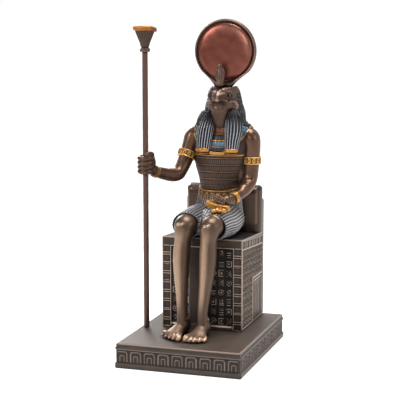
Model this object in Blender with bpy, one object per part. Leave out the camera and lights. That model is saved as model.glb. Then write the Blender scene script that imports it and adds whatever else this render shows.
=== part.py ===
"""A seated falcon-headed figure on a block throne, with a sun disk and a papyrus staff.

Metres, +Z up. The origin is the middle of the plinth's underside, and the figure faces -Y.
"""
import math

import bmesh
import bpy
import numpy as np
from mathutils import Matrix, Vector

# Plinth
PLINTH_WIDTH = 0.1023
PLINTH_DEPTH = 0.1335
PLINTH_HEIGHT = 0.020
PLINTH_CORNER = 0.0012
PLINTH_FOOT_HEIGHT = 0.0046
PLINTH_BEAD_HEIGHT = 0.0024
PLINTH_TOP_STEP = 0.0027
PLINTH_FRIEZE_INSET = 0.0010
ARCH_PITCH = 0.0113
ARCH_WIDTH = 0.0070
ARCH_STROKE = 0.0011
ARCH_DEPTH = 0.0005
FRIEZE_MARGIN = 0.0012

# Throne
THRONE_WIDTH = 0.068
THRONE_FRONT_Y = -0.004
SEAT_DEPTH = 0.052
SEAT_HEIGHT = 0.075
SEAT_FALL = 0.0028
BACKREST_THICKNESS = 0.0105
BACKREST_HEIGHT = 0.0392
BACKREST_SHIFT = 0.0010
BACKREST_TAPER = 0.0042
BACK_SLAB_THICKNESS = 0.0045
BACK_SLAB_HEIGHT = 0.100
PANEL_BORDER = 0.008
PANEL_SINK = 0.0012
SIDE_SINK = 0.0006
SIDE_BAND_HEIGHT = 0.0062
SIDE_CELLS = 4
SIDE_MARGIN = 0.002
RIB = 0.0013
DOOR_MARGIN = 0.0028

# Figure: the sitting height runs from the seat under the hips to the crown
SITTING_HEIGHT = 0.1212
FIGURE_VOXEL = 0.0006
FIGURE_TRIANGLES = 5300

# Sun disk
DISK_RADIUS = 0.0261
DISK_THICKNESS = 0.0052
DISK_DOME_RADIUS = 0.0221
DISK_DOME_RISE = 0.0046
DISK_CENTRE_RISE = 0.0291
DISK_NECK_WIDTH = 0.0142
DISK_NECK_SHIFT = -0.0016
COBRA_HEIGHT = 0.0165

# Staff
STAFF_DIAMETER = 0.0045
STAFF_HEIGHT = 0.2225
FINIAL_COLLAR_RADIUS = 0.0041
FINIAL_COLLAR_HEIGHT = 0.0036
FINIAL_CUP_HEIGHT = 0.0142
FINIAL_CUP_RADIUS = 0.0082
FINIAL_CAP_RADIUS = 0.0095
FINIAL_CAP_HEIGHT = 0.0030
STAFF_SIDES = 20

# Gap kept between two pieces that touch
CLEARANCE = 0.0003

# The figure's own proportions are drawn in millimetres around these levels
MM = 0.001
MODEL_SOLE = 20.0
MODEL_SEAT = 93.3
MODEL_CROWN = 214.5
MODEL_SEAT_FRONT = -4.0
MODEL_BACK = 48.0
MODEL_GRIP = (-44.9, -11.4, 154.0)
MODEL_NECK_X = 5.8
MODEL_DISK_X = 6.3
MODEL_DISK_Y = 40.0

PLINTH_TOP = PLINTH_HEIGHT
SEAT_TOP_FRONT = PLINTH_TOP + SEAT_HEIGHT
SEAT_TOP_BACK = SEAT_TOP_FRONT - SEAT_FALL
BACKREST_FRONT_Y = THRONE_FRONT_Y + SEAT_DEPTH
BACKREST_BACK_Y = BACKREST_FRONT_Y + BACKREST_THICKNESS
SLAB_BACK_Y = BACKREST_BACK_Y + BACK_SLAB_THICKNESS

# Where the hips rest, two thirds of the way back, the sloping seat has fallen by this share
HIP_SHARE = 0.7
HIP_SEAT_Z = SEAT_TOP_FRONT - HIP_SHARE * SEAT_FALL


def fit_levels():
    """Give the figure's own levels and the places that they take on this throne."""
    grow = SITTING_HEIGHT / ((MODEL_CROWN - MODEL_SEAT) * MM)
    reach = 100.0
    y_from = [MODEL_SEAT_FRONT - reach, MODEL_SEAT_FRONT, MODEL_BACK, MODEL_BACK + reach]
    y_to = [THRONE_FRONT_Y - grow * reach * MM, THRONE_FRONT_Y, BACKREST_FRONT_Y,
            BACKREST_FRONT_Y + grow * reach * MM]
    z_from = [MODEL_SOLE - reach, MODEL_SOLE, MODEL_SEAT, MODEL_CROWN + reach]
    z_to = [PLINTH_TOP - reach * MM, PLINTH_TOP, HIP_SEAT_Z,
            HIP_SEAT_Z + grow * (MODEL_CROWN + reach - MODEL_SEAT) * MM]
    return grow, y_from, y_to, z_from, z_to


def fit(points):
    """Carry points of the figure's own proportions to their places on this throne."""
    grow, y_from, y_to, z_from, z_to = fit_levels()
    placed = np.array(points, dtype=float)
    placed[..., 0] = placed[..., 0] * grow * MM
    placed[..., 1] = np.interp(placed[..., 1], y_from, y_to)
    placed[..., 2] = np.interp(placed[..., 2], z_from, z_to)
    return placed


GROW = fit_levels()[0]
CROWN = Vector(fit((MODEL_DISK_X, MODEL_DISK_Y, MODEL_CROWN)))
GRIP = Vector(fit(MODEL_GRIP))


def clear_scene():
    for item in list(bpy.data.objects):
        bpy.data.objects.remove(item, do_unlink=True)


def finish(name, colour, roughness, metallic):
    """Make a Principled material."""
    material = bpy.data.materials.new(name)
    material.use_nodes = True
    shader = material.node_tree.nodes["Principled BSDF"]
    shader.inputs["Base Color"].default_value = (*colour, 1.0)
    shader.inputs["Roughness"].default_value = roughness
    shader.inputs["Metallic"].default_value = metallic
    return material


def add_object(name, bm, material=None, smooth_angle=None):
    """Turn a bmesh into an object in the scene."""
    bmesh.ops.recalc_face_normals(bm, faces=bm.faces)
    mesh = bpy.data.meshes.new(name)
    bm.to_mesh(mesh)
    bm.free()
    if smooth_angle is not None:
        mesh.shade_smooth()
        mesh.set_sharp_from_angle(angle=math.radians(smooth_angle))
    item = bpy.data.objects.new(name, mesh)
    bpy.context.scene.collection.objects.link(item)
    if material:
        mesh.materials.append(material)
    return item


def apply_modifiers(item):
    """Replace an object's mesh by its evaluated one and drop its modifiers."""
    graph = bpy.context.evaluated_depsgraph_get()
    graph.update()
    mesh = bpy.data.meshes.new_from_object(item.evaluated_get(graph), depsgraph=graph)
    item.modifiers.clear()
    item.data = mesh


def combine(item, others, operation):
    """Cut or join an object with others, one after another, by exact Booleans."""
    for other in others:
        step = item.modifiers.new("boolean", 'BOOLEAN')
        step.operation = operation
        step.solver = 'EXACT'
        step.object = other
        other.hide_render = True
        other.display_type = 'WIRE'
    apply_modifiers(item)
    for other in others:
        bpy.data.objects.remove(other, do_unlink=True)


def add_ring(bm, points):
    return [bm.verts.new(point) for point in points]


def bridge(bm, lower, upper):
    """Join two rings of the same count with a band of quads."""
    count = len(lower)
    for i in range(count):
        j = (i + 1) % count
        bm.faces.new((lower[i], lower[j], upper[j], upper[i]))


def stack(bm, rings):
    """Skin a closed solid through a list of rings, with flat ends."""
    made = [add_ring(bm, ring) for ring in rings]
    for lower, upper in zip(made, made[1:]):
        bridge(bm, lower, upper)
    bm.faces.new(made[0])
    bm.faces.new(made[-1])


def box(bm, low, high):
    """Add an upright block between two corners."""
    x0, y0, z0 = low
    x1, y1, z1 = high
    outline = [(x0, y0), (x1, y0), (x1, y1), (x0, y1)]
    stack(bm, [[(x, y, z) for x, y in outline] for z in (z0, z1)])


def box_object(name, low, high):
    bm = bmesh.new()
    box(bm, low, high)
    return add_object(name, bm)


def rounded_rectangle(width, depth, radius, z, steps=2):
    """Points of a rectangle with round corners, anticlockwise, in the plane at z."""
    points = []
    for corner, (sx, sy) in enumerate(((1, 1), (-1, 1), (-1, -1), (1, -1))):
        for step in range(steps + 1):
            angle = math.radians(90 * corner + 90 * step / steps)
            points.append((sx * (width / 2 - radius) + radius * math.cos(angle),
                           sy * (depth / 2 - radius) + radius * math.sin(angle), z))
    return points


def make_plinth(material):
    """The moulded base: foot band, frieze, bead and stepped top edge."""
    frieze_top = PLINTH_HEIGHT - PLINTH_TOP_STEP - PLINTH_BEAD_HEIGHT
    bead_top = PLINTH_HEIGHT - PLINTH_TOP_STEP
    bead = PLINTH_BEAD_HEIGHT / 4
    edge = 0.0006
    groove = PLINTH_FRIEZE_INSET * 1.6
    profile = [(1.5 * edge, 0), (0, 1.5 * edge), (0, PLINTH_FOOT_HEIGHT - edge),
               (edge, PLINTH_FOOT_HEIGHT), (PLINTH_FRIEZE_INSET, PLINTH_FOOT_HEIGHT + edge / 3),
               (PLINTH_FRIEZE_INSET, frieze_top), (PLINTH_FRIEZE_INSET / 2, frieze_top + edge / 3),
               (PLINTH_FRIEZE_INSET / 3, frieze_top + 2 * bead),
               (PLINTH_FRIEZE_INSET / 2, bead_top - edge / 3),
               (groove, bead_top), (groove, bead_top + PLINTH_TOP_STEP / 3),
               (groove - edge / 2, bead_top + PLINTH_TOP_STEP / 2),
               (groove - edge / 2, PLINTH_HEIGHT - edge), (groove, PLINTH_HEIGHT)]
    bm = bmesh.new()
    stack(bm, [rounded_rectangle(PLINTH_WIDTH - 2 * inset, PLINTH_DEPTH - 2 * inset, PLINTH_CORNER, z)
               for inset, z in profile])
    plinth = add_object("plinth", bm, material, smooth_angle=25)
    combine(plinth, [make_frieze(PLINTH_FOOT_HEIGHT, frieze_top)], 'DIFFERENCE')
    return plinth


def make_frieze(low, high):
    """Cutter for the frieze: rows of sunk doorways, each with a bar standing in it."""
    bm = bmesh.new()
    reach = 0.002
    bottom = low + FRIEZE_MARGIN
    top = high - FRIEZE_MARGIN
    front = (PLINTH_WIDTH, PLINTH_DEPTH / 2)
    flank = (PLINTH_DEPTH, PLINTH_WIDTH / 2)
    for (length, half_depth), turn in ((front, 0), (flank, 90), (front, 180), (flank, 270)):
        count = int((length - 2 * PLINTH_FRIEZE_INSET) / ARCH_PITCH)
        face = -(half_depth - PLINTH_FRIEZE_INSET)
        side = bmesh.new()
        for i in range(count):
            middle = (i - (count - 1) / 2) * ARCH_PITCH
            inner = ARCH_WIDTH / 2 - ARCH_STROKE
            for sign in (-1, 1):
                near = middle + sign * ARCH_STROKE / 2
                far = middle + sign * inner
                box(side, (min(near, far), face - reach, bottom),
                    (max(near, far), face + ARCH_DEPTH, top - ARCH_STROKE))
        bmesh.ops.rotate(side, verts=side.verts, cent=(0, 0, 0),
                         matrix=Matrix.Rotation(math.radians(turn), 3, 'Z'))
        mesh = bpy.data.meshes.new("side")
        side.to_mesh(mesh)
        side.free()
        bm.from_mesh(mesh)
        bpy.data.meshes.remove(mesh)
    return add_object("frieze_cutter", bm)


def extruded_in_x(bm, outline, half_width):
    """Add a solid whose side view is the outline, given as (y, z)."""
    stack(bm, [[(x, y, z) for y, z in outline] for x in (-half_width, half_width)])


def make_throne(material):
    """Seat block with a sloping top, a tapered backrest and a thin slab behind, cast as one."""
    foot = PLINTH_TOP + CLEARANCE
    slab_top = PLINTH_TOP + BACK_SLAB_HEIGHT
    turn = BACK_SLAB_THICKNESS * 0.6
    outline = [(THRONE_FRONT_Y, foot), (THRONE_FRONT_Y, SEAT_TOP_FRONT - 0.0008),
               (THRONE_FRONT_Y + 0.0008, SEAT_TOP_FRONT), (BACKREST_FRONT_Y, SEAT_TOP_BACK),
               (BACKREST_BACK_Y, SEAT_TOP_BACK), (BACKREST_BACK_Y, slab_top)]
    for step in range(1, 5):
        angle = math.radians(90 - 90 * step / 4)
        outline.append((SLAB_BACK_Y - turn + turn * math.cos(angle),
                        slab_top - turn + turn * math.sin(angle)))
    outline.append((SLAB_BACK_Y, foot))
    bm = bmesh.new()
    extruded_in_x(bm, outline, THRONE_WIDTH / 2)
    throne = add_object("throne", bm, material, smooth_angle=30)
    combine(throne, [make_backrest()], 'UNION')
    combine(throne, throne_cutters(), 'DIFFERENCE')
    combine(throne, throne_raised_blocks(), 'UNION')
    return throne


def make_backrest():
    """The backrest: wider at its back than its front, with a sloping rim and round corners."""
    half_back = THRONE_WIDTH / 2 - BACKREST_SHIFT - CLEARANCE
    top = SEAT_TOP_BACK + BACKREST_HEIGHT
    low = SEAT_TOP_BACK - 0.001
    rings = []
    for share, shrink in ((0.0, 1.0), (0.16, 0.45), (0.5, 0.15), (0.8, 0.0), (1.0, 0.06)):
        y = BACKREST_FRONT_Y + share * (BACKREST_THICKNESS + 0.001)
        half = half_back - shrink * BACKREST_TAPER
        height = top - shrink * BACKREST_TAPER
        corner = 0.003
        ring = [(BACKREST_SHIFT - half, y, low), (BACKREST_SHIFT + half, y, low)]
        for side in (1, -1):
            for step in range(4):
                angle = math.radians(30 * step if side > 0 else 90 - 30 * step)
                ring.append((BACKREST_SHIFT + side * (half - corner + corner * math.cos(angle)), y,
                             height - corner + corner * math.sin(angle)))
        rings.append(ring)
    bm = bmesh.new()
    stack(bm, rings)
    return add_object("backrest", bm)


def throne_cutters():
    """Sunk front panel, and a band of cells and a doorway panel on each side."""
    half = THRONE_WIDTH / 2
    reach = 0.003
    foot = PLINTH_TOP + CLEARANCE
    cutters = [box_object("front_panel",
                          (-half + PANEL_BORDER, THRONE_FRONT_Y - reach, foot + SIDE_MARGIN + PANEL_SINK),
                          (half - PANEL_BORDER, THRONE_FRONT_Y + PANEL_SINK, SEAT_TOP_FRONT - PANEL_BORDER))]
    cell = (BACKREST_BACK_Y - THRONE_FRONT_Y - SIDE_MARGIN) / SIDE_CELLS
    band_top = SEAT_TOP_BACK - RIB
    for side in (-1, 1):
        x0, x1 = sorted((side * (half - SIDE_SINK), side * (half + reach)))
        for i in range(SIDE_CELLS):
            y0 = THRONE_FRONT_Y + SIDE_MARGIN + i * cell
            cutters.append(box_object("cell", (x0, y0, band_top - SIDE_BAND_HEIGHT),
                                      (x1, y0 + cell - RIB, band_top)))
        (y0, y1), (z0, z1) = door_panel()
        cutters.append(box_object("door", (x0, y0, z0), (x1, y1, z1)))
        field_top = band_top - SIDE_BAND_HEIGHT - RIB
        cutters.append(box_object("field", (x0, THRONE_FRONT_Y + SIDE_MARGIN, foot + SIDE_MARGIN),
                                  (x1, y0 - RIB, field_top)))
        cutters.append(box_object("field_top", (x0, y0 - RIB - CLEARANCE, z1 + RIB), (x1, y1, field_top)))
    return cutters


def door_panel():
    """Extent of the nested doorway in the lower back corner of a side, as (y, z) spans."""
    y0 = THRONE_FRONT_Y + 0.52 * (BACKREST_BACK_Y - THRONE_FRONT_Y)
    y1 = BACKREST_BACK_Y - RIB
    z0 = PLINTH_TOP + CLEARANCE + SIDE_MARGIN
    z1 = PLINTH_TOP + 0.505 * SEAT_HEIGHT
    return (y0, y1), (z0, z1)


def throne_raised_blocks():
    """Nested blocks that stand back up inside each doorway panel."""
    half = THRONE_WIDTH / 2
    (y0, y1), (z0, z1) = door_panel()
    blocks = []
    for side in (-1, 1):
        x0, x1 = sorted((side * (half - DOOR_MARGIN), side * (half - SIDE_SINK / 4)))
        blocks.append(box_object("door_block", (x0, y0 + DOOR_MARGIN, z0 + DOOR_MARGIN),
                                 (x1, y1 - DOOR_MARGIN, z1 - DOOR_MARGIN)))
    return blocks


def smooth_path(stations, steps):
    """Catmull-Rom curve through stations, each a tuple of position and section sizes."""
    rows = np.array(stations, dtype=float)
    padded = np.vstack([2 * rows[0] - rows[1], rows, 2 * rows[-1] - rows[-2]])
    path = []
    for i in range(1, len(padded) - 2):
        p0, p1, p2, p3 = padded[i - 1:i + 3]
        for step in range(steps):
            t = step / steps
            path.append(0.5 * (2 * p1 + (p2 - p0) * t + (2 * p0 - 5 * p1 + 4 * p2 - p3) * t * t
                               + (3 * p1 - p0 - 3 * p2 + p3) * t ** 3))
    path.append(padded[-2])
    return np.array(path)


def tube(bm, stations, across=(1, 0, 0), sides=18, steps=4, round_ends=True):
    """Skin a closed form through stations (x, y, z, half width, half depth).

    The half width lies along across, square to the path.
    """
    path = smooth_path(stations, steps)
    centres = path[:, :3]
    tangents = np.gradient(centres, axis=0)
    tangents /= np.linalg.norm(tangents, axis=1)[:, None]
    rows = []
    ends = []
    for centre, tangent, (wide, deep) in zip(centres, tangents, path[:, 3:5]):
        side = np.array(across, dtype=float)
        side -= side.dot(tangent) * tangent
        side /= np.linalg.norm(side)
        rows.append((centre, side, np.cross(tangent, side), wide, deep))
        ends.append(tangent)
    if round_ends:
        first, last = rows[0], rows[-1]
        start, stop = [], []
        for angle in (math.radians(25), math.radians(50), math.radians(72)):
            for row, tangent, sign, bucket in ((first, ends[0], -1, start), (last, ends[-1], 1, stop)):
                centre, side, up, wide, deep = row
                reach = sign * min(wide, deep) * math.sin(angle)
                shrink = math.cos(angle)
                bucket.append((centre + tangent * reach, side, up, wide * shrink, deep * shrink))
        rows = start[::-1] + rows + stop
    rings = []
    for centre, side, up, wide, deep in rows:
        ring = []
        for i in range(sides):
            angle = 2 * math.pi * i / sides
            ring.append(centre + side * wide * math.cos(angle) + up * deep * math.sin(angle))
        rings.append(ring)
    stack(bm, rings)


def ball(bm, centre, radii, tilt=0.0, turn=0.0):
    """Add an ellipsoid, tilted about X and then turned about Z, in degrees."""
    spin = Matrix.Rotation(math.radians(turn), 4, 'Z') @ Matrix.Rotation(math.radians(tilt), 4, 'X')
    place = Matrix.Translation(centre) @ spin @ Matrix.Diagonal((*radii, 1.0))
    bmesh.ops.create_uvsphere(bm, u_segments=20, v_segments=12, radius=1.0, matrix=place)


def rod_path(points, radius):
    """Stations for a round form of one radius along points."""
    return [(*point, radius, radius) for point in points]


def torso(bm):
    tube(bm, [(2.4, 33, 91, 12.5, 11), (2.4, 33.5, 97, 17.2, 14), (2.4, 34, 103.4, 20.4, 15),
              (2.4, 34.5, 111, 20, 14.5), (2.8, 35.5, 121, 18.4, 12.6), (3.0, 35.8, 131, 16.2, 11.2), (3.0, 35.8, 139, 17.0, 11.2),
              (3.2, 35.6, 149, 20.0, 12.2), (3.6, 35.2, 159, 22.4, 13.0), (4.0, 35.2, 168, 24.4, 12.8),
              (4.4, 36, 175.5, 25.5, 11.4), (4.8, 37, 180.5, 21, 9.4), (5.2, 37.2, 185, 13, 8.2),
              (5.6, 36.5, 190, 9, 8), (5.8, 35, 198, 8.5, 8.5)], round_ends=False, sides=28)
    ball(bm, (20.4, 37, 146), (6.0, 6.0, 17.0))


def arms(bm):
    """Right arm out to the staff, left arm down to the lap, with their bands."""
    right = [(-14, 36, 176, 7.0, 7.5), (-18.8, 35, 173.4, 8.0, 8.6), (-21.2, 33.5, 167, 7.2, 8.2),
             (-23.4, 31, 159.5, 6.3, 7.0), (-25.2, 27.5, 152.5, 6.0, 6.6), (-26.8, 23.5, 147, 5.8, 6.3),
             (-28, 19.0, 143.6, 5.5, 5.8), (-31.3, 12.5, 143.0, 5.2, 5.4), (-35.8, 4, 144.6, 4.5, 4.8),
             (-39.5, -3, 146.9, 3.7, 4.3), (-42.5, -7, 150, 4.4, 5.2)]
    left = [(24, 37, 176, 7.0, 7.5), (28.6, 36.5, 173, 8.0, 8.6), (30.2, 36.4, 166, 7.0, 8.0),
            (30.2, 36.4, 156, 6.4, 7.0), (29.8, 36.2, 147, 6.1, 6.6), (29.4, 35, 140, 5.9, 6.3),
            (28.6, 31.0, 135.2, 5.6, 5.7), (27.3, 24, 131.8, 5.2, 5.1), (25.3, 17, 128.8, 4.3, 4.4),
            (22.8, 10, 126.8, 3.8, 4.3), (20.4, 5, 125.8, 4.4, 4.6)]
    tube(bm, right, sides=16)
    tube(bm, left, sides=16)
    for (x, y, z), direction, radius, half in (((-23.9, 30.4, 158.6), (-0.2, -0.36, -0.92), 7.5, 2.9),
                                              ((30.2, 36.4, 155), (0.0, 0.0, -1.0), 7.4, 2.9),
                                              ((-38.0, -0.8, 146.0), (-0.45, -0.84, 0.3), 5.0, 2.1),
                                              ((22.9, 10.2, 126.8), (-0.37, -0.9, -0.22), 5.1, 2.0)):
        axis = Vector(direction).normalized()
        ends = [Vector((x, y, z)) + axis * offset for offset in (-half, half)]
        tube(bm, rod_path(ends, radius), sides=18, steps=1, round_ends=False)


def right_hand(bm):
    """Fist round the staff: palm on the outer side, four fingers wrapped across the front."""
    gx, gy, gz = MODEL_GRIP
    ball(bm, (gx - 0.2, gy + 4.2, gz + 0.6), (6.4, 6.6, 8.4), tilt=-14)
    for i in range(4):
        level = gz + 5.4 - 3.6 * i
        radius = 4.2
        points = []
        for angle in (150, 190, 230, 270, 310, 350, 20):
            spread = math.radians(angle)
            points.append((gx + radius * math.cos(spread) * 1.1, gy + radius * math.sin(spread),
                           level + 0.6 * math.sin(spread)))
        tube(bm, rod_path(points, 2.05), across=(0, 0, 1), sides=10, steps=2)
    thumb = [(gx + 2.5, gy + 6, gz + 5), (gx + 4.4, gy + 2, gz + 8), (gx + 2.6, gy - 3.2, gz + 8.6)]
    tube(bm, rod_path(thumb, 2.3), across=(0, 0, 1), sides=10, steps=3)


def left_hand(bm):
    """Fist on the lap, closed round the ankh's loop."""
    ball(bm, (18.4, 2.4, 126.0), (5.4, 5.4, 4.4), turn=25)
    for i in range(4):
        x = 12.6 + 2.1 * i
        y = -0.6 - 0.8 * i
        z = 129.2 - 0.8 * i
        points = [(x + 1.6, y + 2.8, z - 0.2), (x, y, z), (x - 1.2, y - 2.4, z - 2.2),
                  (x - 0.8, y - 2.6, z - 4.4), (x + 0.6, y - 0.8, z - 5.6)]
        tube(bm, rod_path(points, 1.9), sides=10, steps=2)
    tube(bm, rod_path([(15.6, 3.4, 123.4), (12.6, -0.6, 123.6), (12.2, -3.6, 124.2)], 2.0), sides=10, steps=3)


def ankh(bm):
    """The cross with a loop: bar and stem lie on the lap before the fist."""
    tube(bm, [(6.4, -6.4, 123.8, 2.6, 3.2), (10.6, -8, 123, 2.4, 2.7), (14.8, -8.8, 122.2, 2.4, 2.5),
              (19, -8.8, 121.4, 2.4, 2.6), (22.4, -8, 120.7, 2.6, 2.9)], across=(0, 1, 0), sides=12)
    tube(bm, [(16.6, -2, 122.6, 2.8, 2.2), (16.8, -7.5, 121.4, 3.0, 2.0), (16.8, -11.4, 120.2, 4.4, 1.9),
              (16.8, -13.4, 119.4, 5.0, 1.7)], across=(1, 0, 0), sides=12)
    ball(bm, (12.8, -12.8, 119.2), (2.6, 2.5, 2.2))
    ball(bm, (20.8, -12.6, 119.6), (2.6, 2.5, 2.2))


def head(bm):
    """Falcon head: skull, brow ridges, hooked beak, round eyes and cheeks."""
    x = MODEL_NECK_X
    ball(bm, (x, 34.5, 204.6), (12.0, 14.5, 10.4))
    ball(bm, (x, 27.5, 203.6), (9.2, 8.5, 8.0))
    tube(bm, [(x, 30, 208.8, 7, 4.2), (x, 24.6, 208.2, 5.6, 4.3), (x, 20.8, 207.2, 4.3, 3.9),
              (x, 18.6, 205.8, 3.0, 2.9), (x, 17.5, 204.2, 1.9, 1.9), (x, 17.2, 203, 0.9, 1.0)],
         sides=14)
    ball(bm, (x, 22.6, 201.2), (4.6, 5.0, 2.7), tilt=-12)
    tube(bm, [(x, 27.5, 200, 8.6, 7.5), (x, 27.5, 192, 7.6, 7), (x, 27.5, 184, 7.2, 6.5),
              (x, 28, 178, 8.5, 6)], sides=20)
    for side in (-1, 1):
        tube(bm, [(x + side * 3.4, 22.4, 209.2, 1.3, 1.3), (x + side * 7.2, 24.8, 210.4, 1.7, 1.5),
                  (x + side * 10.2, 29.6, 210.4, 1.7, 1.5)], sides=10)
        ball(bm, (x + side * 8.4, 26.0, 207), (1.9, 2.4, 2.2))
        ball(bm, (x + side * 8.0, 27.0, 200.2), (3.8, 4.8, 4.2))
        ball(bm, (x + side * 10.4, 29.6, 200.0), (2.9, 3.4, 4.2))


def wig(bm):
    """Striped headdress: full over the crown and shoulders, with two lappets on the chest."""
    x = MODEL_NECK_X - 0.3
    tube(bm, [(x, 39.5, 214.2, 7.5, 9), (x - 0.2, 39.5, 211.6, 11.6, 12.4), (x + 0.8, 39.2, 206, 13.2, 13.6),
              (x + 1.8, 38.6, 200, 15.9, 14.2), (x + 2.4, 38.2, 194, 17.3, 14.4),
              (x + 2.4, 37.8, 188.4, 19.2, 14.2), (x + 1.0, 37.4, 183.2, 23.4, 13.4),
              (x + 0.2, 37.2, 179.8, 26.2, 11.8), (x, 37.4, 177.6, 25.8, 10.4)], sides=28, round_ends=False)
    tube(bm, [(x, 40, 186, 20, 9), (x, 40.5, 172, 19, 7.4), (x, 40.5, 160, 17.5, 7.2),
              (x, 40.5, 152, 16.5, 7.0)], sides=24, round_ends=False)
    for side, top in ((-1, -0.8), (1, 1.6)):
        tube(bm, [(x + side * 6.4 + top, 30, 199, 3.2, 4.0), (x + side * 8.0 + top, 28, 194, 4.6, 4.6),
                  (x + side * 10.0 + top / 2, 25.8, 188, 6.2, 4.4), (x + side * 11.6, 23.6, 180, 7.3, 4.3),
                  (x + side * 11.5, 22.5, 170, 7.3, 4.0), (x + side * 11.2, 22.4, 161, 7.0, 3.8)],
             across=(1, side * 0.25, 0), sides=24, round_ends=False)


def legs(bm):
    right = [(-9, -12, 106.5, 8.6, 8.6), (-9.2, -17.4, 107.6, 9.0, 8.6), (-9.4, -20.4, 103.5, 8.0, 8.4),
             (-10.4, -20.6, 96, 6.6, 7.4), (-11.4, -21.4, 84, 6.6, 7.9), (-11.2, -23.2, 70, 5.8, 7.0),
             (-10.0, -25.4, 54, 4.5, 5.2), (-9.0, -27.2, 38, 3.9, 4.6), (-8.8, -26.6, 28, 4.4, 5.6)]
    left = [(12.3, -12, 106, 8.6, 8.6), (12.3, -17.4, 107.2, 9.0, 8.6), (12.0, -20.4, 103, 8.1, 8.4),
            (11.6, -20.6, 96, 7.0, 7.4), (11.2, -21.4, 84, 7.2, 7.9), (10.6, -23.2, 70, 6.4, 7.0),
            (9.2, -25.4, 54, 4.8, 5.2), (8.0, -27.2, 38, 4.1, 4.6), (7.8, -26.6, 28, 4.6, 5.6)]
    tube(bm, right, sides=18)
    tube(bm, left, sides=18)
    foot(bm, heel=(-8.8, -21, 24.4), ball_of_foot=(-12.4, -40, 23.0), small_toe=(-21.4, -39.6),
         big_toe=(-5.4, -50.2))
    foot(bm, heel=(7.8, -21, 24.4), ball_of_foot=(7.6, -40, 23.0), small_toe=(15.2, -47.6),
         big_toe=(0.8, -50.6))


def foot(bm, heel, ball_of_foot, small_toe, big_toe):
    """Bare foot from heel to five toes."""
    hx, hy, hz = heel
    bx, by, bz = ball_of_foot
    tube(bm, [(hx, hy, hz, 4.2, 4.8), (hx * 0.7 + bx * 0.3, hy * 0.7 + by * 0.3, hz + 1.4, 4.6, 5.6),
              (hx * 0.35 + bx * 0.65, hy * 0.35 + by * 0.65, bz + 1.6, 6.0, 4.4), (bx, by, bz, 7.4, 3.2)],
         sides=16)
    for i in range(5):
        share = i / 4
        tip_x = small_toe[0] + (big_toe[0] - small_toe[0]) * share
        bulge = math.sin(math.pi * share) * 1.6
        tip_y = small_toe[1] + (big_toe[1] - small_toe[1]) * share - bulge
        radius = 1.75 + (0.75 if i == 4 else 0.1 * i)
        root_x = bx + (tip_x - bx) * 0.72
        tube(bm, [(root_x, by + 2.5, 23.6, radius, radius), (tip_x, tip_y + 4.0, 22.8, radius, radius),
                  (tip_x, tip_y + radius, 21.6, radius, radius * 0.9)], sides=10, steps=2)


def kilt(bm):
    """Kilt over hips and thighs, open at the knees, with a fuller hem."""
    tube(bm, [(-9.2, 36, 105, 12.8, 10.8), (-9.4, 22, 106.4, 13.2, 12.3), (-9.6, 6, 106.8, 12.8, 11.8),
              (-9.6, -8, 107.2, 12.0, 10.8), (-9.4, -14.6, 106.8, 11.6, 10.4)], sides=28, round_ends=False)
    tube(bm, [(12.4, 36, 105.5, 11.8, 10.6), (13.6, 22, 107, 13.2, 12.2), (14.0, 6, 106.4, 13.4, 11.8),
              (13.2, -8, 106.8, 12.4, 10.8), (12.6, -13.8, 106.4, 11.6, 10.4)], sides=28, round_ends=False)
    tube(bm, [(2.6, 34, 102, 13, 12), (2.6, 14, 105, 11, 11), (2.0, -2, 105.6, 7, 8.6),
              (1.8, -11, 105.4, 5, 7.2)], sides=16)


def belt(bm):
    tube(bm, [(2.8, 35.6, 121.6, 19.4, 13.4), (2.9, 35.8, 127.5, 17.8, 12.4),
              (3.0, 35.8, 132.4, 17.4, 12.2)],
         sides=28, round_ends=False)


def make_figure(material):
    """Join the body's forms, skin them as one casting and cut them to what they touch."""
    bm = bmesh.new()
    for form in (torso, arms, right_hand, left_hand, ankh, head, wig, legs, kilt, belt):
        form(bm)
    bmesh.ops.scale(bm, vec=(MM, MM, MM), verts=bm.verts)
    figure = add_object("figure", bm, material)
    skin = figure.modifiers.new("skin", 'REMESH')
    skin.mode = 'VOXEL'
    skin.voxel_size = FIGURE_VOXEL
    apply_modifiers(figure)
    count = len(figure.data.polygons) * 2
    thin = figure.modifiers.new("thin", 'DECIMATE')
    thin.ratio = FIGURE_TRIANGLES / count
    thin.use_collapse_triangulate = True
    apply_modifiers(figure)
    place_on_throne(figure.data)
    combine(figure, figure_cutters(), 'DIFFERENCE')
    figure.data.shade_smooth()
    figure.data.set_sharp_from_angle(angle=math.radians(50))
    return figure


def place_on_throne(mesh):
    """Move every vertex from the figure's own proportions to its place on this throne."""
    flat = np.empty(len(mesh.vertices) * 3, dtype=np.float32)
    mesh.vertices.foreach_get("co", flat)
    placed = fit(flat.reshape(-1, 3) / MM)
    mesh.vertices.foreach_set("co", placed.astype(np.float32).ravel())
    mesh.update()


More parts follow.
